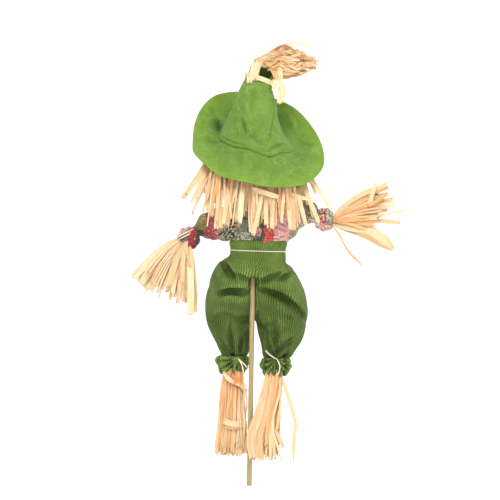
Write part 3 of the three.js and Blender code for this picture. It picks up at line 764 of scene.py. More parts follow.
# Hair: start x and z, end x and z, width, y at the end, tone. All of it hangs from under the hat.
BACK_HAIR = [
    (46, 316, 45, 273, 6, 24, 0.3), (41, 315, 41, 267, 6, 30, 0.42), (36, 315, 36.5, 255, 6.6, 33, 0.3),
    (33, 314, 32, 255, 6.2, 36, 0.46), (28, 314, 29, 259, 5.6, 38, 0.28), (25, 314, 27, 258, 5, 36, 0.5),
    (20, 312, 25.5, 257, 3.2, 37, 0.44), (15, 312, 24, 268, 2.8, 38, 0.34),
    (18, 312, 28, 262, 2.6, 35, 0.56), (12, 312, 18, 262, 3.4, 36, 0.4), (9, 312, 14, 260, 6.2, 39, 0.16),
    (12, 311, 10, 270, 4.2, 36, 0.4), (5, 311, 2.5, 251.5, 5.6, 37, 0.42), (1, 311, 0, 256, 6.6, 39, 0.32),
    (-4, 311, -3.5, 261, 6.2, 38, 0.4), (-11, 309, 0.5, 249, 4.8, 41, 0.34),
    (-9, 311, -9, 264, 5.6, 37, 0.48), (-14, 311, -12, 260, 5.2, 38, 0.3),
    (-20, 311, -18, 256, 5.6, 39, 0.36), (-23, 311, -19.5, 257, 4.6, 36, 0.5),
    (-26, 311, -25, 271, 5.2, 37, 0.34), (-29, 311, -36, 255, 5.6, 38, 0.32),
    (-33, 312, -40, 255, 5, 35, 0.42), (-36, 313, -51, 260, 5, 34, 0.3),
    (-41, 315, -64, 262, 5.2, 29, 0.34), (-44, 316, -47, 281, 4.2, 27, 0.46),
    (-38, 314, -45, 262, 3.2, 31, 0.52), (31, 313, 22, 264, 2.8, 40, 0.5),
    (-30, 311, -27, 262, 3.4, 40, 0.3), (22, 312, 20, 274, 4.6, 35, 0.36),
]
LEFT_HAIR = [
    (40, 330, 71, 284, 6.4, 20, 0.28), (38, 328, 67, 288, 5.4, 21, 0.42),
    (38, 324, 60.5, 270, 3.4, 22, 0.36), (37, 322, 57, 284, 4.6, 24, 0.3),
    (36, 326, 50, 290, 4.6, 21, 0.52), (36, 322, 47, 282, 4, 26, 0.4), (39, 326, 62, 280, 3, 24, 0.34),
]
RIGHT_HAIR = [
    (-44, 322, -76, 275, 4.6, 22, 0.28), (-44, 320, -58, 268, 3.6, 26, 0.44),
    (-42, 322, -53, 280, 4.2, 24, 0.34), (-43, 324, -60, 292, 3.4, 21, 0.56),
]


def add_hair_ribbons(raffia, rows):
    """Ribbons that leave the head's surface under the hat and hang outwards to their ends."""
    head_low, head_high = box_mm("head_cover")
    centre_x = (head_low.x + head_high.x) / 2
    for x0, z0, x1, z1, width, y1, tone in rows:
        y0 = math.sqrt(max(60, 33**2 - (x0 - centre_x) ** 2))
        bow = raffia.random.uniform(-1.2, 1.2)
        middle = ((x0 + x1) / 2 + (x0 - x1) * 0.05 + bow, max(y0, y1) * 0.99, (z0 + z1) / 2 + 3)
        turn = raffia.random.uniform(-22, 22)
        path = [(x0, y0, z0), middle, (x1, y1, z1)]
        if abs(x0 - centre_x) > 32:
            path.insert(0, (centre_x + (x0 - centre_x) * 0.72, y0 * 0.8, z0 + 9))
        raffia.ribbon(path, width * 0.88, tone, root=0.9, turn=turn, cup=0.1)


# How far the hair lies from the head's middle line at each height, from inside the hat down.
HAIR_RADII = [(12, 351), (20, 346), (27, 339), (31.6, 328), (33.4, 315), (33.8, 300)]
HAIR_TOP = HAIR_RADII[0][1]
HAIR_GIRTH = HAIR_RADII[-1][0]
HEAD_X = -4.6
BRIM_CLEARANCE = 2.2


def drape(raffia, angle, low, width, tone, flare=0.0, drift=0.0):
    """A ribbon over the head. angle is in degrees from the figure's left towards its back, flare how far
    its end stands off, and drift how far it slants, in degrees."""
    path = []
    for radius, z in [row for row in HAIR_RADII if row[1] > low] + [(HAIR_GIRTH, low)]:
        share = (HAIR_TOP - z) / (HAIR_TOP - low)
        turn = math.radians(angle + drift * share)
        reach = radius + flare * share**2 + raffia.random.uniform(-0.5, 0.9)
        path.append((HEAD_X + reach * math.cos(turn), reach * math.sin(turn), z))
    way = math.radians(angle)
    raffia.ribbon(path, width, tone, facing=(math.cos(way), math.sin(way), 0), root=0.8, cup=0.1)


def under_brim(raffia):
    """Moves hair that would stick through the brim to just under it."""
    surface = [brim_point(out, left, back) for out in np.linspace(0, 1, 24) for _, left, back in circle(120)]
    tree = KDTree(len(surface))
    for index, (x, y, _) in enumerate(surface):
        tree.insert((x, y, 0), index)
    tree.balance()
    for index, (x, y, z) in enumerate(raffia.points):
        _, nearest, gap = tree.find((x, y, 0))
        ceiling = surface[nearest][2] - BRIM_CLEARANCE
        if gap < 4 and z > ceiling:
            raffia.points[index] = np.array([x, y, ceiling])


def finish_hair(raffia, name, *nodes):
    under_brim(raffia)
    wear(raffia.piece(name), "torso", *nodes)


def add_back_hair():
    """The ribbons that show one by one, over a close layer and loose thin fibres."""
    back = Raffia(31)
    uniform = back.random.uniform
    add_hair_ribbons(back, BACK_HAIR)
    back.ribbon([(3, 38.5, 294), (-10, 43, 290.5), (-23, 41, 287)], 5.2, 0.3, root=1)
    back.ribbon([(-36, 36, 290), (-45, 34, 287), (-55, 30, 285)], 4.0, 0.4, root=1)
    close = 78
    for i in range(close):
        x = 45 - 91 * (i + uniform(0, 1)) / close
        y = math.sqrt(max(380, 34**2 - (x - HEAD_X) ** 2))
        low = uniform(276, 298)
        end = x * 1.04 + uniform(-3, 3)
        path = [(x * 0.97, y - 1, 318), (x, y + 0.5, (318 + low) / 2), (end, y + uniform(-1, 3), low)]
        back.ribbon(path, uniform(3, 5.6), uniform(0.25, 0.62), root=0.9, cup=0.1)
    for _ in range(22):
        x = uniform(-34, 42)
        y = uniform(29, 34)
        end = x + uniform(-6, 6)
        path = [(x, y, 312), ((x + end) / 2, y + 2, 286), (end, y + 1, uniform(258, 275))]
        back.ribbon(path, uniform(1.8, 3.6), uniform(0.4, 0.8), root=0.9)
    for _ in range(46):
        x = uniform(-40, 46)
        end = x * 1.08 + uniform(-5, 5)
        low = uniform(255, 282)
        y = uniform(35, 40)
        path = [(x, min(y, 33), 315), ((x + end) / 2, y, (315 + low) / 2), (end, y, low)]
        back.ribbon(path, uniform(1.1, 2.4), uniform(0.15, 0.85), root=0.9, turn=uniform(-40, 40))
    finish_hair(back, "hair_back_visual", "hair_back", "hair_back_left", "hair_back_right")


def add_hair():
    add_back_hair()
    for side, rows, seed in (("left", LEFT_HAIR, 32), ("right", RIGHT_HAIR, 33)):
        raffia = Raffia(seed)
        uniform = raffia.random.uniform
        add_hair_ribbons(raffia, rows)
        for i in range(44):
            angle = -52 + 96 * i / 43 + uniform(-2, 2)
            low = max(uniform(280, 297), 287 if abs(angle) < 28 else 0)
            width, tone = uniform(2.4, 4.8), uniform(0.2, 0.65)
            flare, drift = uniform(1, 7), uniform(-5, 5)
            drape(raffia, angle if side == "left" else 180 - angle, low, width, tone, flare, drift)
        finish_hair(raffia, f"hair_{side}_visual", f"hair_{side}")
    fringe = Raffia(34)
    uniform = fringe.random.uniform
    for i in range(30):
        angle = -134 + 88 * i / 29 + uniform(-1.5, 1.5)
        low = uniform(322, 329)
        width, tone = uniform(2.4, 4.4), uniform(0.2, 0.6)
        drape(fringe, angle, low, width, tone, 1.0, uniform(-4, 4))
    finish_hair(fringe, "hair_fringe_visual", "hair_fringe")


def add_raffia():
    for side, hand, foot in (("left", hand_left, foot_left), ("right", hand_right, foot_right)):
        wear(hand(), f"hand_{side}", f"hand_raffia_{side}")
        wear(foot(), f"foot_{side}", f"foot_raffia_{side}")
    add_hair()


# ---------------------------------------------------------------- hat


def base_lift(left, back):
    """How far the crown's foot and the brim's inner edge are pushed up behind, in a shallow V."""
    lifts = np.interp(left, (-1, -0.65, -0.3, 0.1, 0.24, 0.6, 1), (2, 5.3, 1.6, 5.5, 7.4, 5.6, 3))
    return float(lifts) * max(0, back) ** 0.5


def brim_point(out, left, back):
    """A point of the brim. out is 0 at the crown and 1 at the edge; left and back are the cosine and
    sine of the angle from the figure's left towards its back."""
    lift = base_lift(left, back)
    inner = np.array([-2 + 35 * left, 3 + 28.2 * back, 340.6 - 15 * back + 4.5 * left + lift])
    edge_z = 345 - 48 * back + 8 * left - 10 * left * left
    edge_z += 18 * max(0, left) ** 1.7 * max(0, -back) ** 0.3
    edge = np.array([-4 + 65 * left, 7 + 45 * back, edge_z])
    belly = 5 * out * (1 - out)
    point = inner + (edge - inner) * out
    return point + np.array([0, belly * back, -belly - lift * out * (1 - out)])


# Creases of the brim and of the crown, seen from behind: the path they follow (x, z), width and depth. A
# negative depth is a ridge.
BRIM_FOLDS = [
    ([(39, 366), (37, 359), (36, 351)], 5, 5), ([(50, 352), (42, 347), (33, 345)], 2.2, -1.6),
    ([(52, 345), (44, 342), (34, 341)], 2.6, 1.5), ([(24, 333), (26, 322), (30, 312)], 5, -1.2),
    ([(-2, 325), (0, 314), (4, 303)], 4.5, 1.2), ([(-27, 329), (-31, 318), (-33, 309)], 4, -1.6),
    ([(-38, 334), (-46, 326), (-52, 318)], 5, 1.3), ([(-33, 371), (-38, 363), (-40, 356)], 3, -1.8),
    ([(-28, 366), (-33, 357), (-36, 347)], 3.5, 0.3), ([(12, 331), (14, 322), (15, 314)], 3.5, 1),
    ([(46, 378), (42, 372), (38, 368)], 3.5, 1.4), ([(8, 330), (5, 321), (2, 313)], 1.3, -0.9),
    ([(-12, 330), (-17, 321), (-20, 310)], 1.5, 1.1), ([(30, 340), (37, 332), (43, 327)], 1.6, 1.1),
    ([(-40, 346), (-50, 342), (-60, 339)], 2, 1.3), ([(-37, 353), (-47, 355), (-57, 352)], 1.8, -1),
    ([(44, 334), (39, 326), (35, 318)], 1.5, -0.9), ([(-22, 329), (-24, 320), (-26, 308)], 1.2, -0.8),
]
CROWN_FOLDS = [
    ([(34, 347), (24, 341), (14, 338), (4, 335)], 1.6, 1.2),
    ([(33, 352), (24, 346), (15, 343)], 2.4, -0.8), ([(14, 366), (11.5, 356), (9.5, 347)], 2.6, 2),
    ([(17, 364), (15.5, 354), (14, 347)], 2.4, -1.4), ([(9, 352), (0, 344), (-8, 338)], 3.2, 1.6),
    ([(-12, 332), (-20, 337), (-30, 340)], 2.2, 1.6),
    ([(-19, 384), (-18, 372), (-15, 352), (-11.6, 333)], 0.9, 1.4),
    ([(-16.8, 384), (-16, 372), (-13.2, 352), (-10, 335)], 1, -0.9),
    ([(18, 388), (14, 377), (11, 369)], 3, 1.3), ([(-23, 376), (-27, 362), (-32, 350)], 3.6, 1.8),
    ([(2, 396), (4, 382), (3, 370)], 5, 1.2),
]
# The left edge of the brim is tucked under: the middle of the tuck and its spread round the brim, in
# radians, where it starts on the way out, and how far it moves the edge.
TUCK_ANGLE = 0.1
TUCK_SPREAD = 0.26
TUCK_START = 0.84
TUCK_MOVE = np.array([1.6, -9, -4.5])


def folded(points, outward, folds, rear):
    """Points moved in along the inverse of outward by folds that only mark the back, and by how much."""
    depth = fold_depth(points, folds) * np.clip(rear, 0, 1)
    return points - outward * depth[:, None], depth


def subdivide(piece, levels):
    smooth = piece.modifiers.new("smooth", "SUBSURF")
    smooth.levels = smooth.render_levels = levels


def thicken(piece, thickness, levels=1):
    """Gives a sheet its thickness, half to each side, and rounds it."""
    solid = piece.modifiers.new("thickness", "SOLIDIFY")
    solid.thickness = thickness * MM
    solid.offset = 0
    subdivide(piece, levels)


def felt_piece(name, rows, points, outward, folds, rear, edges, full_crease, thickness):
    """A sheet of felt from rings of points, with its folds, and shadows that are full at a depth of
    full_crease."""
    points, depth = folded(np.array(points), np.array(outward), folds, np.array(rear))
    faces = grid_faces(rows, len(points) // rows)
    piece = new_piece(name, points, faces, "hat_felt", {"edge": edges, "crease": depth / full_crease})
    thicken(piece, thickness)
    return piece


def add_brim():
    around, across = 200, 44
    points, edges = [], []
    for out in np.linspace(0, 1, across):
        for angle, left, back in circle(around):
            away = (angle - TUCK_ANGLE + math.pi) % (2 * math.pi) - math.pi
            tuck = max(0, (out - TUCK_START) / (1 - TUCK_START)) * math.exp(-((away / TUCK_SPREAD) ** 2))
            ripple = 1.1 * out**2 * math.sin(5 * angle + 0.6) + 0.7 * out * math.sin(9 * angle + 2)
            points.append(brim_point(out, left, back) + TUCK_MOVE * tuck + np.array([0, 0.7, 0.5]) * ripple)
            edges.append(max(0, (out - 0.35) / 0.65) ** 1.5)
    outward = [(0.15 * left, 0.9, 0.4) for _ in range(across) for _, left, _ in circle(around)]
    rear = np.ones(len(points))
    piece = felt_piece("hat_brim_visual", across, points, outward, BRIM_FOLDS, rear, edges, 6, thickness=0.8)
    wear(piece, "torso", "hat_brim")


# The crown from its foot to its tip: middle x and y, z, half width, half depth, how far the back hangs
# lower, how far the left is higher, and the share that the right flank is drawn in.
CROWN_RINGS = [
    (-2, 3, 340.2, 36.4, 29.4, 15, 4.5, 0.02), (-2, 3, 343.4, 37.2, 30.4, 15, 4.5, 0.08),
    (-2, 3, 350, 34.8, 28.6, 12, 4, 0.2), (-2, 2.5, 367, 28, 22.5, 6, 2, 0.3),
    (0.4, 2, 381, 20.8, 18.2, 3, 1, 0.06), (0, 1.5, 393, 16.4, 14, 1, 0, 0),
    (-3.6, 1, 402, 15, 12, 0, 0, 0), (-5, 1, 408, 12.6, 10.6, 0, 0, 0), (-5, 1, 413, 10.6, 9, 0, 0, 0),
]


def add_crown():
    """A cone of felt, open at the tip, whose rim is cut lower behind."""
    around, rows = 180, 110
    points, outward, rear = [], [], []
    rings = smooth_curve(CROWN_RINGS, rows)
    for t, (x, y, z, rx, ry, back_drop, left_rise, drawn_in) in zip(np.linspace(0, 1, rows), rings):
        rim = max(0, (t - 0.8) / 0.2)
        for angle, left, back in circle(around):
            crease = 0.8 * math.sin(3 * angle + 9 * t) * max(0, math.sin(math.pi * t)) ** 0.7
            crease += 0.5 * math.sin(7 * angle - 13 * t) * (1 - t)
            lower = 7.5 * max(0, back) + 4.5 * max(0, -left) * max(0, back + 0.3) - 3 * max(0, left)
            lower = rim * (lower - 7 * max(0, -back))
            lift = base_lift(left, back) * max(0, 1 - t / 0.3) ** 1.5
            height = z - back * back_drop + left * left_rise - lower + lift
            narrow = 1 - drawn_in * max(0, -left)
            points.append((x + (rx * narrow + crease) * left, y + (ry + crease) * back, height))
            outward.append((left, back, 0.25))
            rear.append(2.5 * back + 0.4)
    edges = np.zeros(len(points))
    piece = felt_piece("hat_crown_visual", rows, points, outward, CROWN_FOLDS, rear, edges, 5, thickness=1.0)
    wear(piece, "torso", "hat_crown")


def add_wadding():
    rows = [(x + 3, y - 0.5, rx * 0.62, ry * 0.7, z) for x, y, z, rx, ry, *_ in CROWN_RINGS[3:6]]
    points, faces = loft_solid(rows, 24, 40, 2)
    points = [
        (x + 1.2 * math.sin(z * 0.9 + y * 0.5), y + math.sin(x * 0.6 + z * 0.4), z) for x, y, z in points
    ]
    piece = wear(new_piece("crown_wadding_visual", points, faces, "wadding"), "torso", "crown_wadding")


# The tuft's middle line from its root to its end: x, z, half height, half depth.
TUFT = [(1, 421, 2, 3), (-12, 424, 6, 7), (-27, 423, 13, 11), (-41, 421, 9.5, 8), (-57, 421.5, 4.5, 4)]


def add_tuft():
    """Crinkled ribbons out of the crown's tip."""
    raffia = Raffia(41)
    random, uniform = raffia.random, raffia.random.uniform
    for _ in range(64):
        up, deep = uniform(-1, 1, 2)
        end = random.choice([3, 4, 4, 5])
        path = []
        for x, z, tall, thick in TUFT[:end]:
            jolt = uniform(-1, 1, 3) * (2.0, 0.22 * thick, 0.3 * tall)
            path.append(np.array([x, thick * deep, z + tall * up]) + jolt)
        width = uniform(2.4, 5.4)
        raffia.ribbon(path, width, uniform(0.2, 0.66), cup=0.22, turn=uniform(-50, 50), tip=0.7)
    for _ in range(34):
        x = uniform(-44, -14)
        z = 423 + uniform(-9, 10)
        y = random.choice([1, 1, -1]) * uniform(6, 11)
        lean = uniform(-1, 1)
        path = [(x + 7, y * 0.8, z - 5 * lean), (x, y, z)]
        path += [(x - 4, y, z + 4 * lean), (x - 8, y * 0.7, z - 3 * lean)]
        raffia.ribbon(path, uniform(1.8, 3.8), uniform(0.3, 0.85), cup=0.35, turn=uniform(-70, 70))
    raffia.ribbon([(-24, 3, 436), (-31, 4, 440), (-46, 4, 440), (-55, 3, 436)], 3.0, 0.05, tip=0.5)
    raffia.ribbon([(-26, 3, 432), (-25, 4, 437), (-29, 4, 439.6)], 2.2, 0.3, tip=0.5)
    raffia.ribbon([(-42, 4, 418), (-50, 4, 415), (-60, 3, 413)], 2.4, 0.12)
    raffia.ribbon([(-46, 2, 425), (-54, 3, 424), (-63, 2, 423)], 3.2, 0.3, tip=0.4)
    raffia.ribbon([(-44, 3, 420), (-52, 4, 421), (-60, 2, 420)], 3.4, 0.45, tip=0.4)
    for shift in (-3.5, 0, 3):
        path = [(-14 + shift, 6, 421), (-19 + shift, 9, 414), (-22 + shift / 2, 11, 404), (-21, 11, 398)]
        raffia.ribbon(path, 5.0, 0.5 + shift / 14, root=0.9)
    wear(raffia.piece("hat_tip_raffia_visual"), "torso", "hat_tip_raffia")


def add_tip_tie():
    """Two turns of raffia round the crown's tip, with loops and tails."""
    tie = Raffia(42)
    for lift in (-1.3, 1.3):
        ring = [(-4.4 + 15.6 * c, 1 + 12.8 * s, 404 + lift + 5.2 * c) for _, c, s in circle(24)]
        tie.ribbon(ring + ring[:1], 2.3, 0.08, tip=1, root=1, facing=(0, 1, 0.2), cup=0.05)
    for x, width, tone in ((1.5, 3.6, 0.25), (4.6, 4.2, 0.08), (-1.6, 2.4, 0.35)):
        path = [(x + 1, 13, 402), (x + 0.6, 14.6, 409), (x - 1.4, 12, 416), (x - 3, 8, 422)]
        tie.ribbon(path, width, tone, root=0.8)
    for x, width, tone in ((7, 3.4, 0.05), (4, 2.6, 0.12)):
        tie.ribbon([(x, 13.6, 409), (x + 0.5, 14.6, 405), (x + 1.5, 14, 400)], width, tone, root=0.8)
    tail = [(-19, 13, 403), (-23, 14.4, 396), (-24, 14, 388), (-23, 13, 380)]
    tie.ribbon(tail, 6.4, 0.08, root=0.8, tip=0.9)
    tail = [(-20, 12, 404), (-26, 13.6, 398), (-27, 13.6, 390), (-26, 13, 381)]
    tie.ribbon(tail, 5.0, 0.16, root=0.8, tip=0.9)
    tie.ribbon([(-15, 13, 401), (-18, 14, 397), (-17, 14.4, 393)], 4.4, 0.06, root=0.7)
    tie.ribbon([(-16, 13, 403), (-21, 15, 399), (-22, 14.6, 394)], 3.6, 0.02, root=0.7)
    wear(tie.piece("hat_tip_tie_visual"), "torso", "hat_tip_tie")


# ---------------------------------------------------------------- clothes


# Half a pair of trousers, from the waist to the ankle: x at the inner side, x at the outer side, y of the
# middle, half depth and z.
LEG_ROWS = {
    "left": [
        (2, 20, -6, 11, 229), (0, 25.5, -7, 13.6, 227), (-1, 32, -8, 15.6, 222.5),
        (-2, 38.6, -9.5, 16.4, 211), (-3, 42, -11, 17, 201), (-3.5, 44.4, -12.5, 17.4, 188),
        (-1, 44.4, -13, 17.4, 174), (1.6, 41, -13, 16.6, 160), (3.2, 35, -13, 15.2, 147),
        (4, 31, -13, 13.6, 137), (4.6, 29, -13, 12, 131.5), (7, 26.6, -13, 10, 128.6),
        (11, 22.6, -13, 6.4, 126.6), (12, 21.6, -13, 5.6, 122),
    ],
    "right": [
        (-11, -28, -6, 11, 225), (-9, -32, -7, 13.6, 221.5), (-6, -39, -8.5, 16, 214.5),
        (-2, -46, -11, 17, 202), (0, -51, -12.5, 17.4, 190), (0, -53.6, -13, 17.4, 176),
        (-3, -52.6, -13, 16.6, 163), (-8, -48.6, -13, 15.2, 149), (-11, -43.4, -13, 13.8, 139),
        (-12.4, -39.5, -13, 12, 132), (-15, -36, -13, 10, 128.4), (-19.6, -31, -13, 6.4, 126.4),
        (-20.6, -30, -13, 5.6, 122),
    ],
}
# The band and the seat: the middle in x and y, half width, half depth, z.
SEAT_ROWS = [
    (-4.9, -2.4, 30, 16.6, 244.6), (-4.8, -2.8, 28.9, 15.9, 240), (-4.7, -3, 27.4, 15, 234),
    (-4.6, -3.4, 28.2, 15.5, 229), (-4.6, -4.2, 27.8, 15.7, 223), (-4.4, -5.4, 26, 15.6, 215),
    (-4, -8, 22, 14.6, 207), (-3.6, -11, 17, 13.6, 199), (-3.2, -13, 12, 11.6, 190),
    (-2.6, -14, 7, 9, 180), (-2.4, -14, 4, 7, 173),
]
# Folds on the back of the trousers, in the form of the hat's folds.
BACK_FOLDS = [
    ([(33, 228), (25, 215), (15, 201)], 3.2, 4.4), ([(35, 214), (31, 207), (25, 203)], 3, -1.6),
    ([(36, 190), (24, 194), (10, 194), (-5, 190)], 3.6, 5), ([(36, 183), (22, 187), (6, 185)], 4, -2.2),
    ([(2, 204), (10, 207), (20, 212)], 3.2, 2.4), ([(40, 165), (30, 170), (20, 169)], 3.6, 1.8),
    ([(1, 197), (-17, 194.5), (-30, 189), (-43, 179), (-54, 166)], 3.4, 4.6),
    ([(-8, 184), (-22, 182), (-36, 172), (-44, 163)], 4.2, -1.8),
    ([(-4, 203), (-16, 208), (-30, 213)], 3, 3), ([(-24, 205), (-31, 209), (-37, 213)], 2.6, 3.4),
    ([(-12, 201), (-26, 201), (-38, 198)], 3.4, -1.8),
    ([(21.5, 166), (21.5, 150), (18, 132), (15, 126)], 2.4, 3.2),
    ([(10, 150), (11.5, 138), (13.6, 127)], 2, 2.6), ([(31, 146), (25, 136), (17, 127)], 2.2, 2.6),
    ([(15.5, 156), (15.6, 142), (14.6, 129)], 2.6, -1.6),
    ([(-21, 172), (-22.5, 155), (-24.5, 130)], 3.2, 3), ([(-23, 132), (-32, 141), (-42, 149)], 2.8, 4.6),
    ([(-6.4, 194), (-8, 166), (-10.6, 138)], 0.9, -1.3), ([(-14, 150), (-18, 138), (-24, 127)], 2.2, 2.8),
    ([(-24, 142), (-32, 150), (-40, 156)], 3, -1.8), ([(-38, 138), (-33, 131), (-27, 126)], 2.2, 3),
    ([(-17.5, 160), (-19.5, 146), (-23, 131)], 2.4, -1.6),
]
SEAM_X = -2.2
BAND_Z = 226.0
# How square the trousers' rings are: 2 is an ellipse, and more is nearer to a rectangle.
LEG_ROUNDNESS = 2.25
SEAT_ROUNDNESS = 2.3
BLANK_VOXEL = 1.8
# The cloth is simulated at this many times its size, where Blender's cloth is steady.
CLOTH_SCALE = 10
RIB_COUNT = 82
BAND_RIB_COUNT = 108
WEFT_STEP = 1.9
# How much the trousers' colour is scaled at each height: brighter higher up, as painted light from above, and
# partly the cloth's own tone.
LIGHT_TONE_HEIGHTS = (130, 160, 185, 210, 232)
HEIGHT_LIGHT_AND_TONE = (0.9, 1.0, 1.19, 1.5, 1.6)
# The dent round the stick, below the slit that it goes in through: the height of its top and how far it
# fades in, its middle in x, half width, the y of its bottom and of its far end, and how far its walls rise.
DENT_TOP = 208.5
DENT_FADE = 3
DENT_X = -0.2
DENT_HALF_WIDTH = 4.2
DENT_Y = -2.2
DENT_END_Y = -13
DENT_RISE = 5


def loft_solid(rows, count, around, power):
    """A closed loft of rounded rings, each (middle x, middle y, half width, half depth, z)."""
    points = []
    for x, y, half, depth, z in smooth_curve(rows, count):
        for _, c, s in circle(around):
            across = math.copysign(abs(c) ** (2 / power), c)
            back = math.copysign(abs(s) ** (2 / power), s)
            points.append((x + half * across, y + depth * back, z))
    return points, grid_faces(count, around, True, True)


def applied(piece):
    """Bakes a piece's modifiers into its mesh."""
    graph = bpy.context.evaluated_depsgraph_get()
    mesh = bpy.data.meshes.new_from_object(piece.evaluated_get(graph))
    piece.modifiers.clear()
    old = piece.data
    piece.data = mesh
    bpy.data.meshes.remove(old)


def vertex_vectors(mesh, key="co"):
    flat = np.empty(len(mesh.vertices) * 3, np.float32)
    mesh.vertices.foreach_get(key, flat)
    return flat.reshape(-1, 3).astype(float)


def set_positions(mesh, points):
    mesh.vertices.foreach_set("co", np.asarray(points, np.float32).ravel())
    mesh.update()


def simulate_cloth(piece, pinned, pressure, slack, frames, cap):
    """Lets a closed cloth swell and wrinkle between its pinned points, and keeps the result. slack is how
    much longer the cloth is than its frame, and cap the most that a point may move, in metres."""
    mesh = piece.data
    rest = vertex_vectors(mesh)
    set_positions(mesh, rest * CLOTH_SCALE)
    group = piece.vertex_groups.new(name="pin")
    for index in np.nonzero(pinned > 0)[0]:
        group.add([int(index)], float(pinned[index]), "REPLACE")
    cloth = piece.modifiers.new("cloth", "CLOTH")
    settings = cloth.settings
    settings.vertex_group_mass = "pin"
    settings.quality = 6
    settings.mass = 0.25
    settings.tension_stiffness = 18
    settings.compression_stiffness = 18
    settings.shear_stiffness = 6
    settings.bending_stiffness = 0.25
    settings.use_pressure = True
    settings.uniform_pressure_force = pressure
    settings.shrink_min = -slack
    settings.effector_weights.gravity = 0
    cloth.collision_settings.use_collision = False
    cloth.point_cache.frame_start = 1
    cloth.point_cache.frame_end = frames
    for step in range(1, frames + 1):
        bpy.context.scene.frame_set(step)
    graph = bpy.context.evaluated_depsgraph_get()
    swollen = vertex_vectors(piece.evaluated_get(graph).data) / CLOTH_SCALE
    piece.modifiers.clear()
    piece.vertex_groups.clear()
    bpy.context.scene.frame_set(1)
    moved = swollen - rest
    length = np.linalg.norm(moved, axis=1)
    share = np.minimum(1, cap / np.maximum(length, 1e-9))
    set_positions(mesh, rest + moved * share[:, None])


def fold_depth(points, folds):
    """How far in each point goes, in millimetres, for folds that run along paths in x and z. A fold is
    steep above, soft below, and thins out at both ends."""
    depth = np.zeros(len(points))
    for path, width, deep in folds:
        line = smooth_curve(path, 30)
        gaps = points[:, None, (0, 2)] - line[None]
        distance = np.linalg.norm(gaps, axis=2)
        nearest = distance.argmin(1)
        reach = distance.min(1)
        ends = np.sin(np.pi * (0.04 + 0.92 * nearest / (len(line) - 1)))
        upward = gaps[np.arange(len(points)), nearest, 1] / np.maximum(reach, 0.05)
        wide = width * (0.45 + 0.55 * ends) * (1 - 0.38 * upward)
        groove = np.exp(-((reach / wide) ** 2))
        lip = 0.42 * np.exp(-(((reach - 1.7 * wide) / wide) ** 2)) * (0.75 + 0.25 * upward)
        depth += deep * ends**0.8 * (groove - lip)
    return depth


def between(values, low, high):
    """How far values lie on the way from low to high, held to 0 and 1."""
    return np.clip((values - low) / (high - low), 0, 1)


def leg_frame(points):
    """For each point of the trousers: how far round its leg it is (in turns), and the share of the way
    from the leg's middle to its back."""
    left = points[:, 0] > SEAM_X
    turn, rear = np.zeros((2, len(points)))
    for side, mask in (("left", left), ("right", ~left)):
        rows = np.array(sorted(LEG_ROWS[side], key=lambda row: row[4]))
        inner, outer, y, depth = (np.interp(points[mask, 2], rows[:, 4], rows[:, k]) for k in range(4))
        across = (points[mask, 0] - (inner + outer) / 2) / (np.abs(outer - inner) / 2)
        rear[mask] = (points[mask, 1] - y) / depth
        turn[mask] = np.arctan2(rear[mask], across) / (2 * np.pi)
    return turn, rear


def trousers_blank():
    """Both legs and the seat as one closed, even mesh."""
    points, faces = [], []
    lofts = []
    for side in SIDES:
        rows = [((a + b) / 2, y, abs(b - a) / 2, depth, z) for a, b, y, depth, z in LEG_ROWS[side]]
        lofts.append((rows, LEG_ROUNDNESS))
    lofts.append((SEAT_ROWS, SEAT_ROUNDNESS))
    for rows, power in lofts:
        loft_points, loft_faces = loft_solid(rows, 60, 72, power)
        faces += [tuple(i + len(points) for i in face) for face in loft_faces]
        points += loft_points
    whole = new_piece("trousers", points, faces, "trouser_cloth")
    bm = bmesh.new()
    bm.from_mesh(whole.data)
    bmesh.ops.recalc_face_normals(bm, faces=bm.faces)
    bm.to_mesh(whole.data)
    bm.free()
    remesh = whole.modifiers.new("remesh", "REMESH")
    remesh.mode = "VOXEL"
    remesh.voxel_size = BLANK_VOXEL * MM
    relax = whole.modifiers.new("relax", "SMOOTH")
    relax.factor = 0.5
    relax.iterations = 4
    applied(whole)
    return whole


def swell_trousers(whole):
    """Pleats, folds and waves, and then the cloth's own wrinkles between the waist and the ankles."""
    place = vertex_vectors(whole.data) / MM
    turn, rear = leg_frame(place)
    height = place[:, 2]
    gather = between(height, 150, 124) * between(height, 118, 126)
    pleats = gather * (1.1 * np.sin(2 * np.pi * 9 * turn + 1) + 0.6 * np.sin(2 * np.pi * 14 * turn + 2))
    random = np.random.default_rng(51)
    waves = np.zeros(len(place))
    for _ in range(7):
        way = random.uniform(-1, 1, 3) * (0.10, 0.05, 0.17)
        waves += np.sin(place @ way * 2 + random.uniform(0, 6.28))
    waves *= between(height, 224, 214) * between(height, 130, 142) * (0.15 + np.clip(-rear, 0, 1))
    back = np.clip(rear * 1.6, 0, 1) * between(height, 229, 223)
    inward = 0.9 * fold_depth(place, BACK_FOLDS) * back + pleats + 0.5 * waves
    place = place - vertex_vectors(whole.data, "normal") * inward[:, None] * (0.7, 1.0, 0.7)
    set_positions(whole.data, place * MM)
    pinned = between(place[:, 2], 221, 225) + between(place[:, 2], 126, 123)
    simulate_cloth(whole, np.clip(pinned, 0, 1), pressure=1.2, slack=0.09, frames=18, cap=5 * MM)
    subdivide(whole, 1)
    applied(whole)


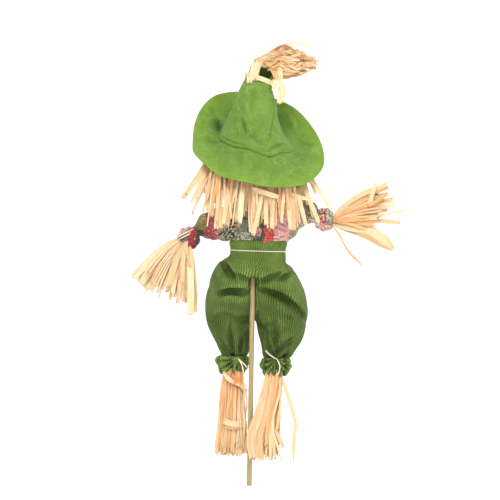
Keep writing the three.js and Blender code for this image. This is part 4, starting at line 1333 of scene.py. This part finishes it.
def crease_trousers(whole):
    """The folds again on the finer mesh, the dent round the stick, and the cloth's attributes."""
    place = vertex_vectors(whole.data) / MM
    turn, rear = leg_frame(place)
    back = np.clip(rear * 1.6, 0, 1) * between(place[:, 2], 228, 222)
    creases = fold_depth(place, BACK_FOLDS) * back
    place -= vertex_vectors(whole.data, "normal") * creases[:, None]
    share = between(place[:, 2], DENT_TOP, DENT_TOP - DENT_FADE) * (place[:, 1] > DENT_END_Y)
    walls = DENT_Y + (np.abs(place[:, 0] - DENT_X) / DENT_HALF_WIDTH) ** 2.5 * DENT_RISE
    dented = (share > 0) & (place[:, 1] > walls)
    place[:, 1] = np.where(dented, place[:, 1] + (walls - place[:, 1]) * share, place[:, 1])
    set_positions(whole.data, place * MM)
    middle_x, middle_y, half, depth, _ = SEAT_ROWS[2]
    seat_turn = np.arctan2((place[:, 1] - middle_y) / depth, (place[:, 0] - middle_x) / half) / (2 * np.pi)
    band = place[:, 2] > BAND_Z + 0.01
    # Painted shade: darker in the folds. Painted light from above, partly the cloth's own tone: brighter higher
    # up.
    light_and_tone = np.interp(place[:, 2], LIGHT_TONE_HEIGHTS, HEIGHT_LIGHT_AND_TONE) * (1 - 0.47 * np.clip(creases / 6, -0.25, 1))
    rib = np.where(band, BAND_RIB_COUNT * seat_turn, RIB_COUNT * turn)
    store(whole.data, {"rib": rib, "weft": place[:, 2] / WEFT_STEP, "light_and_tone": light_and_tone})
    whole.data.polygons.foreach_set("use_smooth", [True] * len(whole.data.polygons))


def add_trousers():
    """Both legs and the seat swell as one cloth, and are then cut at the back seam and under the band."""
    whole = trousers_blank()
    swell_trousers(whole)
    crease_trousers(whole)
    band = cut_piece(whole, "waistband", [((0, 0, BAND_Z), (0, 0, -1))])
    below = ((0, 0, BAND_Z), (0, 0, 1))
    legs = {
        side: cut_piece(whole, f"trouser_leg_{side}_visual", [below, ((SEAM_X, 0, 0), (inward, 0, 0))])
        for side, inward in (("left", -1), ("right", 1))
    }
    bpy.data.objects.remove(whole)
    wear(band, "torso", "trousers_seat")
    for side, piece in legs.items():
        hip = JOINTS[f"hip_{side}"]
        start = mm(hip.x * 0.4, hip.y, hip.z + 14)
        end = mm(hip.x * 1.2, hip.y, hip.z - 20)
        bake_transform(piece, "torso", f"leg_{side}", start=start, end=end)
        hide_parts(f"trouser_leg_{side}", f"leg_filling_{side}")


def cut_piece(whole, name, cuts):
    """A copy of a closed mesh with the side that each cut's arrow points to taken away, and closed again.
    It keeps the whole mesh's normals, so that two such pieces meet without a line."""
    bm = bmesh.new()
    bm.from_mesh(whole.data)
    bm.normal_update()
    kept_normal = bm.verts.layers.float_vector.new("kept_normal")
    for vert in bm.verts:
        vert[kept_normal] = vert.normal
    for place, arrow in cuts:
        everything = bm.verts[:] + bm.edges[:] + bm.faces[:]
        bmesh.ops.bisect_plane(bm, geom=everything, plane_co=mm(*place), plane_no=arrow, clear_outer=True)
        rim = [edge for edge in bm.edges if edge.is_boundary]
        filled = bmesh.ops.triangle_fill(bm, edges=rim, use_beauty=True)
        for item in filled["geom"]:
            if isinstance(item, bmesh.types.BMFace):
                item.smooth = False
    bmesh.ops.recalc_face_normals(bm, faces=bm.faces)
    mesh = bpy.data.meshes.new(name)
    bm.to_mesh(mesh)
    bm.free()
    mesh.materials.clear()
    mesh.materials.append(MATERIALS["trouser_cloth"])
    kept = np.array([item.vector for item in mesh.attributes["kept_normal"].data])
    loops = np.zeros((len(mesh.loops), 3))
    for polygon in mesh.polygons:
        for loop in polygon.loop_indices:
            normal = kept[mesh.loops[loop].vertex_index]
            loops[loop] = normal if polygon.use_smooth and normal.any() else polygon.normal
    mesh.attributes.remove(mesh.attributes["kept_normal"])
    mesh.normals_split_custom_set(loops.tolist())
    piece = add_object(name, mesh)
    return piece


# Each cuff's frill. knot: where the ankle's knot lies behind (x, z). ways: the ways that the frill's sharp
# folds run from it. profile: from the tie to the hem, distance along and radius.
CUFF_FRILLS = {
    "left": {
        "knot": (14, 126),
        "ways": (-176, -150, -116, -86, -58, -32, -8),
        "profile": [(0, 5.4), (-1.8, 9), (-2.6, 12.6), (-1, 15), (4, 14.6), (10, 12.6), (15.6, 10)],
        "seed": 5,
    },
    "right": {
        "knot": (-25.2, 125.4),
        "ways": (-170, -142, -116, -92, -66, -38, -10),
        "profile": [(0, 5.4), (-1.4, 8.8), (-1.6, 12), (1.6, 14.2), (6.4, 14.4), (11.6, 12.8), (16, 10)],
        "seed": 9,
    },
}
# Where the puffed cuff at each wrist starts, and which way it goes.
CUFFS = {"left": ((57.5, 0, 251.5), (0.74, 0, -0.67)), "right": ((-61, 0, 266.5), (-0.99, 0, -0.06))}
SLEEVE_FRILL_PROFILE = [(0, 4.4), (1.5, 7.6), (6, 10), (11, 10), (15, 8.2), (17, 6)]
SLEEVE_FRILL_SEED = 8
FRILL_RIBS = 60
BLEND_LENGTH = 12


def frill_grooves(knot, ways):
    """Grooves and ridges in turn, fanned out from the knot."""
    (x, z), grooves = knot, []
    for index, way in enumerate(ways):
        for turn, width, depth in ((0, 1.2, 3.2 if index % 2 else 2.2), (12, 1.4, -1.4)):
            c, s = math.cos(math.radians(way + turn)), math.sin(math.radians(way + turn))
            grooves.append(([(x + reach * c, z + reach * s) for reach in (-1, 9, 21)], width, depth))
    return grooves


def frill_piece(name, slot, centre, along, profile, squash, folds, seed, grooves=()):
    """The gathered cloth past a tie. profile gives (distance along, radius) from the tie to the hem, squash
    the depth as a share of the width, and folds how many pleats, how deep, and how uneven the hem is."""
    centre = np.asarray(centre, float)
    across = np.cross(REAR, along)
    pleats, deep, uneven = folds
    phase = np.random.default_rng(seed).uniform(0, 6.28, 5)
    rows, around = 30, 220
    points, rib, weft, light_and_tone = [], [], [], []
    for t, (reach, radius) in zip(np.linspace(0, 1, rows), smooth_curve(profile, rows)):
        for angle, c, s in circle(around):
            fold = math.sin(pleats * angle + phase[0] + 0.9 * math.sin(angle + phase[3]))
            fold = math.copysign(abs(fold) ** 0.7, fold) + 0.5 * math.sin((2 * pleats - 3) * angle + phase[1])
            size = 1 + deep * fold * min(1, 0.25 + 1.6 * t) - 0.05 * math.sin(5 * t * math.pi + 3 * angle)
            way = reach + uneven * math.sin(2 * angle + phase[2]) * t * t + 0.4 * uneven * fold * t
            points.append(centre + along * way + radius * size * (across * c + REAR * squash * s))
            rib.append(FRILL_RIBS * angle / (2 * math.pi))
            weft.append(t * 9)
            # Painted light and shade on the pleats: brighter where a pleat bulges out, darker where it goes in,
            # over an even lift of the colour.
            light_and_tone.append(1.35 + 0.35 * fold * min(1, 3 * t))
    if grooves:
        points = np.array(points)
        outward = unit(points - (centre + along * 8))
        points, depth = folded(points, outward, grooves, outward[:, 1] * 2)
        # Painted shade in the grooves that fan out from the knot.
        light_and_tone = np.array(light_and_tone) * (1 - 0.6 * np.clip(depth / 3, -0.2, 1))
    piece = new_piece(name, points, grid_faces(rows, around), slot, {"rib": rib, "weft": weft, "light_and_tone": light_and_tone})
    thicken(piece, 0.7)
    applied(piece)
    return piece


def blend_past(piece, centre, along, *bodies):
    """The piece turns from one body to the other on the way past a tie."""
    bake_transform(piece, *bodies, start=mm(*centre), end=mm(*(np.asarray(centre) + along * BLEND_LENGTH)))


def add_cuff_frill(side):
    frill = CUFF_FRILLS[side]
    centre = np.array(JOINTS[f"ankle_{side}"]) + (0, 0, 5.6)
    down = np.array([0.0, 0.0, -1.0])
    piece = frill_piece(
        f"cuff_frill_{side}_visual", "trouser_cloth", centre, down, frill["profile"], squash=0.86,
        folds=(7, 0.1, 1.6), seed=frill["seed"], grooves=frill_grooves(frill["knot"], frill["ways"]),
    )
    blend_past(piece, centre, down, f"leg_{side}", f"foot_{side}")
    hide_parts(f"cuff_frill_{side}")


def add_sleeve_frill(side):
    centre, along = CUFFS[side]
    along = unit(along)
    piece = frill_piece(
        f"sleeve_frill_{side}_visual", "shirt_cloth", centre, along, SLEEVE_FRILL_PROFILE, squash=0.9,
        folds=(6, 0.08, 0.6), seed=SLEEVE_FRILL_SEED,
    )
    blend_past(piece, centre, along, f"arm_{side}", f"hand_{side}")
    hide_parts(f"sleeve_frill_{side}")


# The shirt's body from its hem up: middle x and y, height over the hem, half width and half depth.
SHIRT_ROWS = [
    (-4.7, -4.2, 0, 24.8, 12), (-4.7, -3, 10, 25.6, 13), (-5.6, -2, 18, 28.4, 14.6),
    (-7.4, -1.4, 24, 34.5, 15.4), (-7.2, -1, 34, 36.5, 16), (-5, 0, 46, 32, 15), (-4.6, 0, 54, 22, 13.4),
]
SHIRT_NECK = (-3.6, 0, 13.6, 12.6)


def add_shirt():
    rows, around = 60, 120
    low, high = box_mm("shirt_body")
    x, y, rx, ry = SHIRT_NECK
    neck = (x, y, high.z + 1, rx, ry)
    stations = [(x, y, low.z + rise, rx, ry) for x, y, rise, rx, ry in SHIRT_ROWS] + [neck]
    points = []
    for t, (x, y, z, rx, ry) in zip(np.linspace(0, 1, rows), smooth_curve(stations, rows)):
        for angle, c, s in circle(around):
            fold = 0.7 * math.sin(11 * angle + 4 * t) * math.sin(math.pi * t)
            fold += 0.8 * math.sin(5 * angle - 7 * t)
            points.append((x + (rx + fold) * c, y + (ry + fold) * s, z))
    piece = new_piece("shirt_body_visual", points, grid_faces(rows, around), "shirt_cloth")
    thicken(piece, 0.7)
    wear(piece, "torso", "shirt_body", "torso_filling")


# Each sleeve from the shoulder: the middle in x and z, and the half width.
SLEEVES = {
    "left": [
        (17, 260, 11), (24, 260, 15), (32, 259.5, 16.4), (40, 258.6, 15.8), (46, 257.4, 13.6),
        (51, 255.2, 10), (55, 253.4, 6), (59, 251.2, 4.6),
    ],
    "right": [
        (-24, 262, 12), (-32, 266, 14), (-40, 269, 14), (-48, 271.5, 13), (-54, 272, 11.4),
        (-59, 269.5, 8), (-63, 267, 5.2), (-65, 266, 4.8),
    ],
}


def add_sleeve(side):
    rows, around = 70, 120
    stations = smooth_curve(SLEEVES[side], rows)
    ways = np.gradient(stations, axis=0)
    points = []
    for t, (x, z, radius), (run, rise, _) in zip(np.linspace(0, 1, rows), stations, ways):
        across = np.cross(REAR, unit((run, 0, rise)))
        gather = max(0, t - 0.4) / 0.6
        for angle, c, s in circle(around):
            fold = gather * (1.1 * math.sin(9 * angle) + 0.6 * math.sin(14 * angle + 1))
            fold += 1.3 * math.sin(2 * angle + 9 * t) * math.sin(math.pi * t)
            fold += 0.9 * math.sin(5 * angle + 12 * t) * math.sin(math.pi * t)
            r = radius + fold * min(1, radius / 9)
            points.append(np.array([x, 0, z]) + across * r * c + REAR * 0.92 * r * s)
    faces = grid_faces(rows, around, True, True)
    piece = new_piece(f"sleeve_{side}_visual", points, faces, "shirt_cloth")
    shoulder = JOINTS[f"shoulder_{side}"]
    out = 1 if side == "left" else -1
    start, end = (mm(shoulder.x + reach * out, 0, shoulder.z) for reach in (-8, 10))
    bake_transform(piece, "torso", f"arm_{side}", start=start, end=end)
    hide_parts(f"sleeve_{side}", f"arm_raffia_{side}")


# ---------------------------------------------------------------- strings

THREAD = 0.6
# The elastic at each wrist: its middle, its axis and its radius.
WRIST_BANDS = {"left": ((67, 0, 249), (-0.47, 0, -0.88), 9.7), "right": ((-62.5, 0, 266.4), (-1, 0, 0), 5.4)}
# Each ankle's knot, measured from the middle of the tie, and its two tails, measured from the knot.
ANKLE_KNOTS = {"left": (-5, 12.6, 0.6), "right": (-0.4, 12.6, 0.6)}
ANKLE_TAILS = {
    "left": [
        [(0, 0, 0), (-3, 2.6, -4), (-5, 3, -9), (-6, 2, -14)],
        [(0, 0, 0), (-4, 2.6, -3), (-8, 2.4, -7), (-9.4, 1, -8.5)],
    ],
    "right": [
        [(0, 0, 0), (5, 2.4, 3), (9, 2.2, 6), (11.4, 1, 8.6)],
        [(0, 0, 0), (-2.2, 2.8, -4), (-3, 3, -9), (-1, 2, -16)],
    ],
}


def ring_path(centre, along, radius, turns=1.0, pitch=0.0, steps=40):
    """A thread wound round an axis, pitch forward in each turn."""
    along = unit(along)
    across = np.cross(REAR, along)
    path = []
    for i in range(int(steps * turns) + 1):
        angle = 2 * math.pi * i / steps
        point = np.asarray(centre) + along * pitch * i / steps
        path.append(point + radius * (across * math.cos(angle) + REAR * math.sin(angle)))
    return path


def add_body_strings():
    low, high = box_mm("waist_string")
    centre, half = (low + high) / 2, (high - low) / 2
    waist = []
    for angle, c, s in circle(96):
        height = centre.z + 0.7 * math.cos(angle + 1)
        waist.append((centre.x + (half.x - 0.8) * c, centre.y + (half.y - 0.8) * s, height))
    waist.append(waist[0])
    wear(string_piece("waist_string_visual", [waist], 0.55), "torso", "waist_string")
    low, high = box_mm("neck_tie")
    neck = ring_path((low + high) / 2, (0, 0, 1), 9.2, 2, 1.2)
    wear(string_piece("neck_tie_visual", [neck], THREAD), "torso", "neck_tie")


def add_limb_strings(side):
    tie = np.array(JOINTS[f"ankle_{side}"]) + (0, 0, 5.4)
    knot = tie + ANKLE_KNOTS[side]
    loops = [ring_path(tie, (0, 0, 1), 7.4, 2.2, 0.9), ring_path(knot, (0, 1, 0), 1.1, 2, 0.8, steps=16)]
    loops += [smooth_curve(knot + np.array(tail), 24) for tail in ANKLE_TAILS[side]]
    wear(string_piece(f"ankle_tie_{side}_visual", loops, THREAD), f"leg_{side}", f"ankle_tie_{side}")
    middle, axis, radius = WRIST_BANDS[side]
    bands = [ring_path(np.add(middle, np.multiply(axis, shift)), axis, radius) for shift in (-1.3, 1.3)]
    piece = string_piece(f"wrist_tie_{side}_visual", bands, THREAD)
    start, way = CUFFS[side]
    blend_past(piece, start, unit(way), f"arm_{side}", f"hand_{side}")
    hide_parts(f"wrist_tie_{side}")


# ---------------------------------------------------------------- head

NECK_SHARE = 0.12
NECK_LENGTH = 9.5
CHEEK = (15, -25, -8)
CHEEK_RADIUS = 6.5


def add_head():
    """Cloth stretched over the ball and gathered into a neck, with its cheeks marked for the blush."""
    low, high = box_mm("head_cover")
    radius = (high.x - low.x) / 2
    centre = np.array([(low.x + high.x) / 2, (low.y + high.y) / 2, high.z - radius])
    rows, around = 70, 110
    cheeks = [centre + np.multiply(CHEEK, (sign, 1, 1)) for sign in (-1, 1)]
    points, blush = [], []
    for t in np.linspace(0, 1, rows):
        polar = math.pi * (1 - t)
        gather = max(0, (0.28 - t) / 0.28)
        neck = t < NECK_SHARE
        shift = 2.3 * max(0, 0.2 - t) / 0.2
        z = -radius * 0.96 - (1 - t / NECK_SHARE) * NECK_LENGTH if neck else radius * math.cos(polar)
        for angle, c, s in circle(around):
            least = radius * 0.27 * (1 + 0.05 * math.sin(11 * angle)) if neck else 0.4
            r = max(radius * math.sin(polar), least) * (1 + 0.05 * gather * math.sin(13 * angle))
            points.append(centre + (shift + r * c, r * s, z))
            nearest = min(np.linalg.norm(points[-1] - cheek) for cheek in cheeks)
            blush.append(math.exp(-((nearest / CHEEK_RADIUS) ** 2)))
    faces = grid_faces(rows, around, end_cap=True)
    piece = new_piece("head_cover_visual", points, faces, "head_cloth", {"blush": blush})
    thicken(piece, 0.5, 0)
    wear(piece, "torso", "head_cover")


def dress_cad_nodes():
    """The CAD nodes that show as they are get their slot's material."""
    slots = {part["node"]: part["material_slot"] for part in frame["record"]["subparts"]}
    for name, node in frame["nodes"].items():
        node.data.materials.clear()
        node.data.materials.append(MATERIALS[slots[name]])


add_camera()
add_stage()
add_light()
dress_cad_nodes()
add_raffia()
add_brim()
add_crown()
add_wadding()
add_tuft()
add_tip_tie()
add_head()
add_shirt()
add_trousers()
for figure_side in SIDES:
    add_sleeve(figure_side)
    add_cuff_frill(figure_side)
    add_sleeve_frill(figure_side)
add_body_strings()
for figure_side in SIDES:
    add_limb_strings(figure_side)
